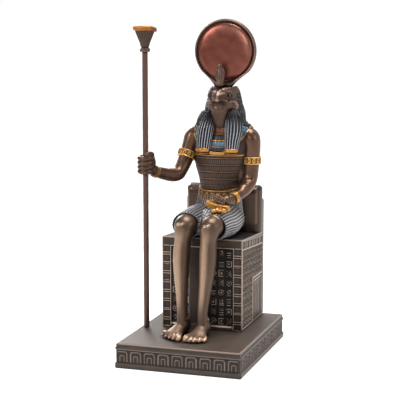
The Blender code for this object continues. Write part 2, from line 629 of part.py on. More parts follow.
def figure_cutters():
    """Plinth top, seat, backrest, staff and disk, each with its clearance."""
    wide = PLINTH_WIDTH
    below = PLINTH_TOP + CLEARANCE
    floor = box_object("floor_cutter", (-wide, -wide, below - 0.05), (wide, wide, below))
    slope = SEAT_FALL / SEAT_DEPTH
    front = THRONE_FRONT_Y - CLEARANCE
    back = BACKREST_FRONT_Y - CLEARANCE
    tall = SEAT_TOP_FRONT + 2 * SITTING_HEIGHT
    seat_front = SEAT_TOP_FRONT + CLEARANCE
    seat_back = seat_front - slope * (back - front)
    bm = bmesh.new()
    extruded_in_x(bm, [(front, PLINTH_TOP), (front, seat_front), (back, seat_back), (back, tall),
                       (back + 0.1, tall), (back + 0.1, PLINTH_TOP)], wide)
    seat = add_object("seat_cutter", bm)
    bm = bmesh.new()
    radius = STAFF_DIAMETER / 2 + CLEARANCE
    bore = [[(GRIP.x + radius * math.cos(a), GRIP.y + radius * math.sin(a), z) for a in staff_angles()]
            for z in (GRIP.z - 0.03, GRIP.z + 0.03)]
    stack(bm, bore)
    staff = add_object("staff_cutter", bm)
    seat_of_disk = box_object("disk_cutter", (-wide, -wide, CROWN.z), (wide, wide, CROWN.z + 0.05))
    return [floor, seat, staff, seat_of_disk]


def disk_outline(count_arc=26, flare=2):
    """Outline of the disk in its own plane: a circle drawn in to a neck, as (x, z) from its centre."""
    half_neck = DISK_NECK_WIDTH / 2
    drop = DISK_CENTRE_RISE + DISK_THICKNESS / 2
    reach = math.hypot(half_neck, drop)
    lean = math.atan2(half_neck, drop)
    touch = math.acos(min(1.0, DISK_RADIUS / reach)) + lean
    points = []
    for i in range(count_arc + 1):
        angle = -math.pi / 2 + touch + i * (2 * math.pi - 2 * touch) / count_arc
        points.append((DISK_RADIUS * math.cos(angle), DISK_RADIUS * math.sin(angle)))
    sides = []
    for (start_x, start_z), side in ((points[-1], -1), (points[0], 1)):
        foot_x = DISK_NECK_SHIFT + side * half_neck
        run = []
        for i in range(1, flare + 1):
            share = i / flare
            pinch = -side * 0.0009 * math.sin(math.pi * share)
            run.append((start_x + (foot_x - start_x) * share + pinch, start_z + (-drop - start_z) * share))
        sides.append(run)
    left, right = sides
    bottom = [(DISK_NECK_SHIFT - half_neck / 3, -drop), (DISK_NECK_SHIFT + half_neck / 3, -drop)]
    return points + left + bottom + right[::-1]


def make_sun_disk(material):
    """Disk with a rounded rim, a groove, a domed face front and back, a neck and a cobra."""
    outline = disk_outline()
    half = DISK_THICKNESS / 2
    groove = DISK_DOME_RADIUS / DISK_RADIUS
    levels = [(1.0, 0.4 * half), (0.98, half), (0.92, 0.95 * half), (groove + 0.025, 0.55 * half),
              (groove, 0.6 * half)]
    dome = [(0.96, 0.36), (0.84, 0.72), (0.55, 0.95), (0.2, 1.0)]
    front = []
    for share, depth in levels:
        front.append([(x * share, -depth, z * share) for x, z in outline])
    rounding = []
    for share, rise in dome:
        ring = []
        for x, z in outline:
            angle = math.atan2(z, x)
            radius = DISK_DOME_RADIUS * share
            ring.append((radius * math.cos(angle), -(0.6 * half + rise * (DISK_DOME_RISE - 0.6 * half)),
                         radius * math.sin(angle)))
        rounding.append(ring)
    front[-1] = [(DISK_DOME_RADIUS * math.cos(math.atan2(z, x)), -0.6 * half,
                  DISK_DOME_RADIUS * math.sin(math.atan2(z, x))) for x, z in outline]
    face = front + rounding
    back = [[(x, -y, z) for x, y, z in ring] for ring in face]
    bm = bmesh.new()
    stack(bm, back[::-1] + face)
    disk = add_object("sun_disk", bm, material, smooth_angle=40)
    foot_z = -(DISK_CENTRE_RISE - CLEARANCE)
    wide = DISK_RADIUS
    low = box_object("disk_foot_cutter", (-wide, -wide, foot_z - wide), (wide, wide, foot_z))
    combine(disk, [low], 'DIFFERENCE')
    combine(disk, make_cobra(), 'UNION')
    disk.location = (CROWN.x, CROWN.y, CROWN.z + DISK_CENTRE_RISE)
    return disk


def make_cobra():
    """Rearing cobra on the disk's foot: its coil, then its flared hood and small head."""
    low = -(DISK_CENTRE_RISE - CLEARANCE) + CLEARANCE
    tall = COBRA_HEIGHT
    stand_off = -0.0105
    x = DISK_NECK_SHIFT
    coil = bmesh.new()
    tube(coil, [(x, stand_off, low + 0.0016, 0.0030, 0.0017),
                (x, stand_off / 2, low + 0.0019, 0.0031, 0.0019),
                (x, 0.0, low + 0.0022, 0.0032, 0.0021)], sides=10, steps=1)
    rise = [(0.10, 0.0, 2.7, 2.2), (0.28, 0.0, 3.1, 2.1), (0.52, 0.0, 3.8, 1.8), (0.74, 0.0, 3.9, 1.6),
            (0.92, 0.0, 2.4, 1.7), (1.03, -1.2, 1.8, 1.7), (1.04, -3.0, 1.2, 1.1)]
    hood = bmesh.new()
    tube(hood, [(x, stand_off + lean * MM, low + share * tall, wide * MM, deep * MM)
                for share, lean, wide, deep in rise], sides=10, steps=1)
    return [add_object("cobra_coil", coil), add_object("cobra_hood", hood)]


def staff_angles():
    return [2 * math.pi * i / STAFF_SIDES for i in range(STAFF_SIDES)]


def turned(bm, profile, centre):
    """Turned solid about a vertical axis, from (radius, z) pairs listed upwards."""
    stack(bm, [[(centre.x + radius * math.cos(a), centre.y + radius * math.sin(a), z)
                for a in staff_angles()] for radius, z in profile])


def make_staff(material):
    """Plain rod standing on the plinth, through the fist."""
    low = PLINTH_TOP + CLEARANCE
    radius = STAFF_DIAMETER / 2
    bm = bmesh.new()
    turned(bm, [(radius, low), (radius, low + STAFF_HEIGHT)], GRIP)
    return add_object("staff_rod", bm, material, smooth_angle=40)


def make_finial(material):
    """Papyrus head: collar ring, fluted cup and flat cap."""
    low = PLINTH_TOP + CLEARANCE + STAFF_HEIGHT + CLEARANCE
    cup = low + FINIAL_COLLAR_HEIGHT
    cap = cup + FINIAL_CUP_HEIGHT
    top = cap + FINIAL_CAP_HEIGHT
    neck = STAFF_DIAMETER / 2 + 0.0007
    bm = bmesh.new()
    turned(bm, [(FINIAL_COLLAR_RADIUS * 0.86, low), (FINIAL_COLLAR_RADIUS, low + 0.2 * FINIAL_COLLAR_HEIGHT),
                (FINIAL_COLLAR_RADIUS, low + 0.7 * FINIAL_COLLAR_HEIGHT), (neck, cup - 0.0001),
                (neck, cup), (FINIAL_CUP_RADIUS * 0.50, cup + 0.25 * FINIAL_CUP_HEIGHT),
                (FINIAL_CUP_RADIUS * 0.73, cup + 0.6 * FINIAL_CUP_HEIGHT), (FINIAL_CUP_RADIUS, cap),
                (FINIAL_CAP_RADIUS, cap + 0.25 * FINIAL_CAP_HEIGHT),
                (FINIAL_CAP_RADIUS, cap + 0.75 * FINIAL_CAP_HEIGHT), (FINIAL_CAP_RADIUS * 0.93, top)], GRIP)
    return add_object("papyrus_finial", bm, material, smooth_angle=40)


def build():
    clear_scene()
    make_plinth(finish("plinth_bronze", (0.105, 0.085, 0.075), 0.5, 0.7))
    make_throne(finish("throne_bronze", (0.090, 0.062, 0.050), 0.48, 0.7))
    make_figure(finish("figure_bronze", (0.150, 0.095, 0.070), 0.38, 0.8))
    make_sun_disk(finish("disk_copper", (0.230, 0.075, 0.055), 0.36, 0.7))
    make_staff(finish("staff_brown", (0.120, 0.075, 0.060), 0.5, 0.5))
    make_finial(finish("finial_bronze", (0.170, 0.105, 0.055), 0.45, 0.7))


build()
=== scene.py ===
"""Looks of a seated falcon-headed figure on a carved throne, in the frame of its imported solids."""
import math

import bmesh
import bpy
import numpy as np
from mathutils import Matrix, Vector
from mathutils.bvhtree import BVHTree


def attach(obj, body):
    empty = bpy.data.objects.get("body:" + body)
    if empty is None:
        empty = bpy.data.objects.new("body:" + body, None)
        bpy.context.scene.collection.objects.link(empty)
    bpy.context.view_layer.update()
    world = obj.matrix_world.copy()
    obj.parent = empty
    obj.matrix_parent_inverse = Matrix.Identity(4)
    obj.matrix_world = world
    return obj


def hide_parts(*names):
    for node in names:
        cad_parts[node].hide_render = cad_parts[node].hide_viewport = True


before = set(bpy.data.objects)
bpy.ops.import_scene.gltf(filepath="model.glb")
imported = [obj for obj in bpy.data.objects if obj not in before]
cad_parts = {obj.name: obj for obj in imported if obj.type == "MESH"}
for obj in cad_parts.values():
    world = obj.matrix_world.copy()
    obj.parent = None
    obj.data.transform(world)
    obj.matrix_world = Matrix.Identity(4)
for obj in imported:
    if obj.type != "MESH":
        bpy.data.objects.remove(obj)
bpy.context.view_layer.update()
MM = 0.001

# Levels of the figure's drawing in millimetres, and where they lie on the throne
DRAWN_Z = (20.0, 93.3, 300.0)
PLACED_Z = (20.0, 93.04, 299.74)
NECK_X = 5.8
GRIP = (-44.9, -11.4, 154.0)
SOLE_LEVEL = 20.35

# Steps by which a tube's round end closes, as angles from its last ring
END_ANGLES = np.radians([20, 40, 58, 74])


# Mesh helpers

def smooth_path(stations, steps):
    """Catmull-Rom curve through rows of numbers."""
    rows = np.array(stations, dtype=float)
    padded = np.vstack([2 * rows[0] - rows[1], rows, 2 * rows[-1] - rows[-2]])
    path = []
    for i in range(1, len(padded) - 2):
        p0, p1, p2, p3 = padded[i - 1:i + 3]
        for step in range(steps):
            t = step / steps
            path.append(0.5 * (2 * p1 + (p2 - p0) * t + (2 * p0 - 5 * p1 + 4 * p2 - p3) * t * t
                               + (3 * p1 - p0 - 3 * p2 + p3) * t ** 3))
    path.append(padded[-2])
    return np.array(path)


def unit(vectors):
    """Vectors brought to a length of one."""
    return vectors / np.maximum(np.linalg.norm(vectors, axis=-1, keepdims=True), 1e-9)


def tube_rows(stations, across=(1, 0, 0), sides=24, steps=6, round_ends=True):
    """Rings through stations (x, y, z, half width, half depth): points, outward, angle and share."""
    path = smooth_path(stations, steps)
    centres, wide, deep = path[:, :3], path[:, 3], path[:, 4]
    tangents = unit(np.gradient(centres, axis=0))
    share = np.linspace(0, 1, len(path))
    if round_ends:
        count = len(END_ANGLES)
        reach = [min(wide[end], deep[end]) for end in (0, -1)]
        first = [centres[0] - tangents[0] * reach[0] * math.sin(a) for a in END_ANGLES][::-1]
        last = [centres[-1] + tangents[-1] * reach[1] * math.sin(a) for a in END_ANGLES]
        shrink = np.cos(END_ANGLES)
        centres = np.vstack([first, centres, last])
        wide = np.concatenate([wide[0] * shrink[::-1], wide, wide[-1] * shrink])
        deep = np.concatenate([deep[0] * shrink[::-1], deep, deep[-1] * shrink])
        tangents = np.vstack([[tangents[0]] * count, tangents, [tangents[-1]] * count])
        share = np.concatenate([[0] * count, share, [1] * count])
    across = np.array(across, dtype=float)
    side = unit(across - (tangents @ across)[:, None] * tangents)[:, None]
    up = np.cross(tangents, side[:, 0])[:, None]
    angle = 2 * np.pi * np.arange(sides) / sides
    c = np.cos(angle)[None, :, None]
    s = np.sin(angle)[None, :, None]
    wide = wide[:, None, None]
    deep = deep[:, None, None]
    points = centres[:, None] + side * wide * c + up * deep * s
    outward = unit(side * deep * c + up * wide * s)
    shape = points.shape[:2]
    return points, outward, np.broadcast_to(angle, shape), np.broadcast_to(share[:, None], shape)


def skin_rows(points, closed=True):
    """Vertices and faces of a sheet of rows, closed round and capped at both ends by default."""
    rows, cols = points.shape[:2]
    index = np.arange(rows * cols).reshape(rows, cols)
    near = index if closed else index[:, :-1]
    far = np.roll(index, -1, axis=1) if closed else index[:, 1:]
    quads = np.stack([near[:-1], far[:-1], far[1:], near[1:]], axis=-1).reshape(-1, 4).tolist()
    if closed:
        quads += [index[0][::-1].tolist(), index[-1].tolist()]
    return points.reshape(-1, 3), quads


def raised(rings, lift):
    """Skin of rings from tube_rows or torso_shell, moved outwards by a lift."""
    points, outward = rings[:2]
    return skin_rows(points + outward * lift[..., None])


def tube(stations, **options):
    """Skin of a form through stations."""
    return skin_rows(tube_rows(stations, **options)[0])


def rod(points, radius, **options):
    """Skin of a round form of one radius along points."""
    return tube([(*p, radius, radius) for p in points], **options)


def turn_about(points, axis, degrees):
    """Turn points about the X or the Z axis."""
    a = math.radians(degrees)
    c, s = math.cos(a), math.sin(a)
    matrix = {'X': [[1, 0, 0], [0, c, -s], [0, s, c]], 'Z': [[c, -s, 0], [s, c, 0], [0, 0, 1]]}[axis]
    return points @ np.array(matrix).T


def ball(centre, radii, tilt=0.0, turn=0.0, count=28):
    """Ellipsoid, tilted about X and then turned about Z."""
    lat = np.linspace(-np.pi / 2, np.pi / 2, count // 2 + 1)[1:-1]
    lon = 2 * np.pi * np.arange(count) / count
    points = np.stack([np.cos(lat)[:, None] * np.cos(lon), np.cos(lat)[:, None] * np.sin(lon),
                       np.sin(lat)[:, None] * np.ones(count)], axis=-1) * np.array(radii)
    points = turn_about(turn_about(points, 'X', tilt), 'Z', turn) + np.array(centre)
    return skin_rows(points)


def merged(forms):
    """Several forms as one list of vertices and one of faces."""
    verts, faces, base = [], [], 0
    for points, quads in forms:
        verts.append(np.asarray(points, dtype=float))
        faces.extend([[i + base for i in face] for face in quads])
        base += len(points)
    return np.vstack(verts), faces


def settled(points):
    """Carry drawn millimetres to metres on the throne."""
    placed = np.array(points, dtype=float)
    placed[..., 2] = np.interp(placed[..., 2], DRAWN_Z, PLACED_Z)
    return placed * MM


def linked(name, mesh, material, stands_for):
    """Make an object of a mesh, dress it and tie it to the frame."""
    mesh.name = name
    mesh.shade_smooth()
    mesh.materials.clear()
    mesh.materials.append(material)
    item = bpy.data.objects.new(name, mesh)
    bpy.context.scene.collection.objects.link(item)
    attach(item, "root")
    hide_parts(stands_for)
    return item


def piece(name, form, material, stands_for="figure", smooth_angle=None, drawn=True):
    """Make an object of vertices and faces in millimetres; drawn ones still have to be settled."""
    points, faces = form
    mesh = bpy.data.meshes.new(name)
    mesh.from_pydata((settled(points) if drawn else np.asarray(points) * MM).tolist(), [], faces)
    mesh.validate()
    bm = bmesh.new()
    bm.from_mesh(mesh)
    bmesh.ops.recalc_face_normals(bm, faces=bm.faces)
    bm.to_mesh(mesh)
    bm.free()
    item = linked(name, mesh, material, stands_for)
    if smooth_angle is not None:
        mesh.set_sharp_from_angle(angle=math.radians(smooth_angle))
    return item


def dressed(name, mesh, material, stands_for="figure", drawn=True):
    """Make an object of a mesh that is still in millimetres."""
    points = read(mesh)
    write(mesh, settled(points) if drawn else points * MM)
    return linked(name, mesh, material, stands_for)


def fused(forms, voxel, relax):
    """One closed skin over overlapping forms, in millimetres, as a mesh datablock."""
    points, faces = merged(forms)
    mesh = bpy.data.meshes.new("forms")
    mesh.from_pydata(points.tolist(), [], faces)
    item = bpy.data.objects.new("forms", mesh)
    bpy.context.scene.collection.objects.link(item)
    skin = item.modifiers.new("skin", 'REMESH')
    skin.mode = 'VOXEL'
    skin.voxel_size = voxel
    ease = item.modifiers.new("ease", 'SMOOTH')
    ease.factor = 0.5
    ease.iterations = relax
    graph = bpy.context.evaluated_depsgraph_get()
    graph.update()
    made = bpy.data.meshes.new_from_object(item.evaluated_get(graph), depsgraph=graph)
    bpy.data.objects.remove(item, do_unlink=True)
    return made


def read(mesh, what="co"):
    """A mesh's vertex places, or its normals, as rows."""
    flat = np.empty(len(mesh.vertices) * 3, dtype=np.float32)
    mesh.vertices.foreach_get(what, flat)
    return flat.reshape(-1, 3).astype(float)


def write(mesh, points):
    """Move a mesh's vertices to new places."""
    mesh.vertices.foreach_set("co", np.asarray(points, dtype=np.float32).ravel())
    mesh.update()


def lifted(mesh, lift):
    """Move a mesh's vertices along their normals."""
    write(mesh, read(mesh) + read(mesh, "normal") * lift[:, None])


def edges_of(mesh):
    """Both ends of each edge of a mesh."""
    flat = np.empty(len(mesh.edges) * 2, dtype=np.int32)
    mesh.edges.foreach_get("vertices", flat)
    return flat.reshape(-1, 2)


def averaged(values, edges, times):
    """Blur values over a mesh's edges."""
    count = len(values)
    weight = np.bincount(edges.ravel(), minlength=count) + 1.0
    result = values.astype(float)
    for _ in range(times):
        total = result.copy()
        for k in range(result.shape[1]):
            total[:, k] += np.bincount(edges[:, 0], result[edges[:, 1], k], count)
            total[:, k] += np.bincount(edges[:, 1], result[edges[:, 0], k], count)
        result = total / weight[:, None]
    return result


def step_between(low, high, values):
    """Smooth step from nothing at low to one at high; low may be the greater."""
    t = np.clip((values - low) / (high - low), 0, 1)
    return t * t * (3 - 2 * t)


def band(values, low, high, soft=0.18):
    """One between two limits and nothing outside, with soft ends."""
    return step_between(low - soft, low + soft, values) * (1 - step_between(high - soft, high + soft,
            values))


def store(item, name, values):
    """Store a value on each vertex for the material to read, or one value on all of them."""
    attributes = item.data.attributes
    layer = attributes.get(name) or attributes.new(name, 'FLOAT', 'POINT')
    values = np.broadcast_to(np.asarray(values, dtype=np.float32).ravel(), len(item.data.vertices))
    layer.data.foreach_set("value", values.copy())


def mark_wear(item, spread, sharp, extra=0.0, hollow=0.14, start=0.15):
    """Store how far each vertex stands out of, or lies below, the surface round it.

    Spread is how often the surface is blurred, sharp is the height in millimetres that is rubbed bare,
    start is the share of it where rubbing begins, and extra is added wear, which on the arms, legs and face
    also holds painted highlight.
    """
    mesh = item.data
    points = read(mesh) / MM
    height = ((points - averaged(points, edges_of(mesh), spread)) * read(mesh, "normal")).sum(axis=1)
    store(item, "wear", np.clip(step_between(start * sharp, sharp, height) + extra, 0, 1))
    store(item, "hollow", step_between(0.1 * hollow, hollow, -height))


def near_path(points, path):
    """Distance from each point to a polyline."""
    path = np.array(path, dtype=float)
    best = np.full(len(points), np.inf)
    for a, b in zip(path[:-1], path[1:]):
        d = b - a
        t = np.clip(((points - a) @ d) / max(d @ d, 1e-9), 0, 1)
        best = np.minimum(best, np.linalg.norm(points - (a + t[:, None] * d), axis=1))
    return best


def bump_line(points, path, width, height):
    """Raise, or with a negative height sink, a soft line along a polyline."""
    return height * np.exp(-(near_path(points, path) / width) ** 2)


# Materials

def linear(colour):
    """A colour of 0 to 255 as the linear light that a shader wants."""
    return tuple((v / 255 / 12.92 if v <= 10 else ((v / 255 + 0.055) / 1.055) ** 2.4) for v in colour)


# Scale of a patina's blotches, and how far its rubbed places and painted highlights take their lighter
# colour
BLOTCH_SCALE = 140.0
RUBBED_SHARE = 0.85


class Nodes:
    """Short calls for building a material's nodes."""

    def __init__(self, name):
        self.material = bpy.data.materials.new(name)
        self.material.use_nodes = True
        self.tree = self.material.node_tree
        self.shader = self.tree.nodes["Principled BSDF"]

    def add(self, kind, **values):
        node = self.tree.nodes.new(kind)
        for key, value in values.items():
            setattr(node, key, value)
        return node

    def link(self, source, target):
        self.tree.links.new(source, target)

    def attribute(self, name):
        return self.add("ShaderNodeAttribute", attribute_name=name).outputs["Fac"]

    def noise(self, scale, detail, stretch=(1, 1, 1)):
        place = self.add("ShaderNodeTexCoord").outputs["Object"]
        mapping = self.add("ShaderNodeMapping")
        mapping.inputs["Scale"].default_value = stretch
        self.link(place, mapping.inputs["Vector"])
        node = self.add("ShaderNodeTexNoise")
        node.inputs["Scale"].default_value = scale
        node.inputs["Detail"].default_value = detail
        self.link(mapping.outputs["Vector"], node.inputs["Vector"])
        return node.outputs["Fac"]

    def ramp(self, source, stops):
        node = self.add("ShaderNodeValToRGB")
        elements = node.color_ramp.elements
        while len(elements) < len(stops):
            elements.new(0.5)
        for element, (position, value) in zip(elements, stops):
            element.position = position
            element.color = (value, value, value, 1)
        self.link(source, node.inputs["Fac"])
        return node.outputs["Color"]

    def feed(self, sockets, values):
        for socket, value in zip(sockets, values):
            if isinstance(value, (int, float)):
                socket.default_value = value
            elif isinstance(value, tuple):
                socket.default_value = (*value, 1)
            else:
                self.link(value, socket)

    def mix(self, factor, first, second):
        node = self.add("ShaderNodeMix", data_type='RGBA')
        self.feed([node.inputs[i] for i in (0, 6, 7)], (factor, first, second))
        return node.outputs[2]

    def maths(self, operation, *values):
        node = self.add("ShaderNodeMath", operation=operation, use_clamp=True)
        self.feed(node.inputs, values)
        return node.outputs[0]

    def bump(self, height, strength, distance):
        node = self.add("ShaderNodeBump")
        node.inputs["Strength"].default_value = strength
        node.inputs["Distance"].default_value = distance
        self.link(height, node.inputs["Height"])
        self.link(node.outputs["Normal"], self.shader.inputs["Normal"])

    def occlusion(self, distance):
        node = self.add("ShaderNodeAmbientOcclusion", samples=6)
        node.inputs["Distance"].default_value = distance
        return node.outputs["AO"]


def patina(name, base, rubbed, wash_and_shade_colour, metallic=0.6, roughness=(0.34, 0.5), mottle=0.35, grime_and_shade=0.75,
           speck=900.0, stretch=(1, 1, 1), shadow=0.004):
    """Antiqued casting: a base colour, rubbed lighter where it stands out and where painted highlight is
    stored with the wear, washed dark in its hollows, and darkened with painted shade in recesses, between
    parts and where painted shade is stored.
    """
    base, rubbed, wash_and_shade_colour = (linear(colour) for colour in (base, rubbed, wash_and_shade_colour))
    n = Nodes(name)
    wear = n.attribute("wear")
    hollow = n.attribute("hollow")
    blotch = n.noise(BLOTCH_SCALE, 5.0, stretch)
    fine = n.noise(speck, 3.0, stretch)
    soft = n.ramp(blotch, [(0.3, 0.0), (0.7, 1.0)])
    lighter = tuple(min(1.0, v * (1 + mottle)) for v in base)
    darker = tuple(v * (1 - mottle) for v in base)
    colour = n.mix(soft, darker, lighter)
    broken = n.maths('MULTIPLY', wear, n.ramp(fine, [(0.25, 0.72), (0.7, 1.0)]))
    colour = n.mix(n.maths('MULTIPLY', broken, RUBBED_SHARE), colour, rubbed)
    # Ambient occlusion darkens recesses and the places between parts: partly patina wash, partly painted
    # shade.
    closed = n.maths('MULTIPLY', n.ramp(n.occlusion(shadow), [(0.25, 1.0), (0.9, 0.0)]), grime_and_shade)
    deep = n.maths('MAXIMUM', n.maths('MULTIPLY', hollow, grime_and_shade), closed)
    # A stored painted shade value darkens places in shade with the wash colour.
    deep = n.maths('MAXIMUM', deep, n.attribute("painted_shade"))
    n.link(n.mix(deep, colour, wash_and_shade_colour), n.shader.inputs["Base Color"])
    smooth, rough = roughness
    dulled = n.maths('ADD', deep, n.maths('MULTIPLY', soft, 0.4))
    n.link(n.maths('ADD', n.maths('MULTIPLY', dulled, rough - smooth), smooth), n.shader.inputs["Roughness"])
    n.shader.inputs["Metallic"].default_value = metallic
    n.bump(fine, 0.08, 0.0004)
    return n.material


# Its rubbed colour also serves the painted highlight on the arms, and its wash colour the painted shade on
# the fists.
BRONZE = patina("figure_patina", (90, 66, 51), (186, 146, 118), (22, 16, 14), metallic=0.75,
                roughness=(0.32, 0.44), mottle=0.12, speck=700.0)
# Its rubbed colour is also the colour of the painted highlight on the shins and feet.
LEG_BRONZE = patina("leg_patina", (88, 69, 56), (202, 167, 140), (24, 18, 15), metallic=0.7,
                    roughness=(0.38, 0.50), mottle=0.12, speck=500.0, stretch=(1, 1, 0.4))
# Its reddish wash colour also colours the painted shade on the face, and its rubbed colour the painted
# highlight on the crest and beak.
FACE_BRONZE = patina("face_patina", (80, 61, 50), (208, 176, 152), (54, 25, 17), metallic=0.6,
                     roughness=(0.38, 0.5), mottle=0.24, shadow=0.003)
PLINTH_BRONZE = patina("plinth_patina", (58, 49, 42), (150, 128, 112), (16, 13, 11), metallic=0.35,
                       roughness=(0.46, 0.62), mottle=0.24, grime_and_shade=0.85)
THRONE_BRONZE = patina("throne_patina", (55, 43, 36), (222, 194, 174), (11, 8, 7), metallic=0.5,
                       roughness=(0.36, 0.52), mottle=0.2, grime_and_shade=0.95, shadow=0.0025)
BACK_BRONZE = patina("backrest_patina", (50, 36, 29), (150, 116, 94), (14, 10, 8), metallic=0.65,
                     roughness=(0.28, 0.42), mottle=0.14)
STAFF_BRONZE = patina("staff_patina", (84, 60, 52), (120, 92, 80), (32, 23, 20), metallic=0.5,
                      roughness=(0.38, 0.5), mottle=0.08, stretch=(1, 1, 0.12))
CORSELET_BRONZE = patina("corselet_patina", (50, 37, 29), (146, 112, 90), (9, 7, 6), metallic=0.55,
                         roughness=(0.36, 0.55), mottle=0.2, grime_and_shade=0.95, shadow=0.002)
RIM_BRONZE = patina("rim_patina", (80, 60, 51), (158, 126, 108), (18, 12, 11), metallic=0.65,
                    roughness=(0.30, 0.46), mottle=0.15)
# Its rubbed colour is also the colour of the painted highlight crescent on the domes.
COPPER = patina("disk_patina", (110, 60, 48), (184, 132, 114), (44, 21, 17), metallic=0.75,
                roughness=(0.30, 0.44), mottle=0.2, grime_and_shade=0.7, shadow=0.003)
GOLD = patina("gold_leaf_paint", (174, 122, 56), (242, 204, 132), (62, 34, 16), metallic=0.7,
              roughness=(0.3, 0.45), mottle=0.18, grime_and_shade=0.9, shadow=0.0016)
DULL_GOLD = patina("belt_paint", (112, 78, 44), (200, 150, 88), (30, 19, 12), metallic=0.65,
                   roughness=(0.32, 0.48), mottle=0.18, grime_and_shade=0.9, shadow=0.0016)
HEADDRESS = patina("headdress_paint", (19, 19, 23), (200, 200, 210), (5, 5, 7), metallic=0.5,
                   roughness=(0.34, 0.5), mottle=0.2, grime_and_shade=0.9, shadow=0.002)
KILT = patina("kilt_paint", (66, 64, 66), (210, 208, 209), (12, 12, 14), metallic=0.45,
              roughness=(0.36, 0.5), mottle=0.14, grime_and_shade=0.95, shadow=0.002)
BLUE = patina("blue_paint", (70, 104, 128), (140, 172, 190), (22, 34, 46), metallic=0.4,
              roughness=(0.34, 0.48), mottle=0.25, grime_and_shade=0.7, shadow=0.0016)
DARK_BLUE = patina("dark_blue_paint", (40, 42, 52), (90, 94, 110), (14, 14, 18), metallic=0.4,
                   roughness=(0.34, 0.48), mottle=0.2, shadow=0.0016)
FINIAL_BRONZE = patina("finial_patina", (60, 44, 32), (128, 98, 70), (20, 14, 10), metallic=0.5,
                       roughness=(0.34, 0.5), mottle=0.2, grime_and_shade=0.85, shadow=0.002)
CAP_GOLD = patina("cap_paint", (146, 90, 28), (190, 130, 56), (104, 56, 44), metallic=0.55,
                  roughness=(0.44, 0.54), mottle=0.2)
EYE = patina("eye_enamel", (16, 15, 17), (90, 90, 96), (6, 6, 7), metallic=0.1,
             roughness=(0.12, 0.2), mottle=0.1, grime_and_shade=0.3)
RED_BROWN = patina("red_brown_paint", (100, 56, 44), (170, 110, 84), (28, 15, 12), metallic=0.5,
                   roughness=(0.34, 0.48), mottle=0.2, shadow=0.0016)


# Plinth

PLINTH_SIZE = np.array([102.3, 133.5])
PLINTH_CORNER = 1.2
FRIEZE_LEVELS = (4.8, 14.8)
ARCH_PITCH = 11.3
ARCH_WIDTH = 9.2
ARCH_FOOT = 5.3
ARCH_TOP = 14.0
ARCH_ROUND = 2.2


def rounded_outline(width, depth, radius, spacing):
    """Points round a rectangle with round corners, with each one's side and place along that side."""
    points, sides, along = [], [], []
    corner_steps = 6
    runs = (((-1, -1), (1, 0), width), ((1, -1), (0, 1), depth), ((1, 1), (-1, 0), width),
            ((-1, 1), (0, -1), depth))
    for number, ((sx, sy), (dx, dy), length) in enumerate(runs):
        ahead = np.array([dx, dy])
        straight = length - 2 * radius
        start = np.array([sx * width / 2, sy * depth / 2]) + ahead * radius
        count = int(straight / spacing)
        for i in range(count + 1):
            shift = straight * i / count
            points.append(start + ahead * shift)
            sides.append(number)
            along.append(shift + radius - length / 2)
        centre = start + ahead * straight + np.array([-dy, dx]) * radius
        heading = math.atan2(dy, dx) - math.pi / 2
        for i in range(1, corner_steps):
            angle = heading + math.pi / 2 * i / corner_steps
            points.append(centre + radius * np.array([math.cos(angle), math.sin(angle)]))
            sides.append(number)
            along.append(length / 2)
    return np.array(points), np.array(sides), np.array(along)


def arch_relief(x, z):
    """Row of upright arches, each a raised outline with a bar standing in it."""
    x = (x + ARCH_PITCH / 2) % ARCH_PITCH - ARCH_PITCH / 2
    z = z + 0 * x
    inside = np.maximum(np.abs(x) - (ARCH_WIDTH / 2 - ARCH_ROUND), 0)
    rise = np.maximum(z - (ARCH_TOP - ARCH_ROUND), 0)
    corner = np.hypot(inside, rise)
    above_foot = step_between(ARCH_FOOT - 0.2, ARCH_FOOT + 0.2, z)
    shape = (corner < ARCH_ROUND + 0.1) * above_foot
    line = band(corner, 1.25, ARCH_ROUND, 0.2) * above_foot
    inner = np.hypot(np.maximum(np.abs(x) - 0.7, 0), np.maximum(z - (ARCH_TOP - 4.6), 0))
    slot = band(inner, 0.55, 1.3, 0.2) * band(z, ARCH_FOOT, ARCH_TOP - 2.9, 0.2)
    return np.maximum(np.maximum(line, slot), 0.25 * shape)


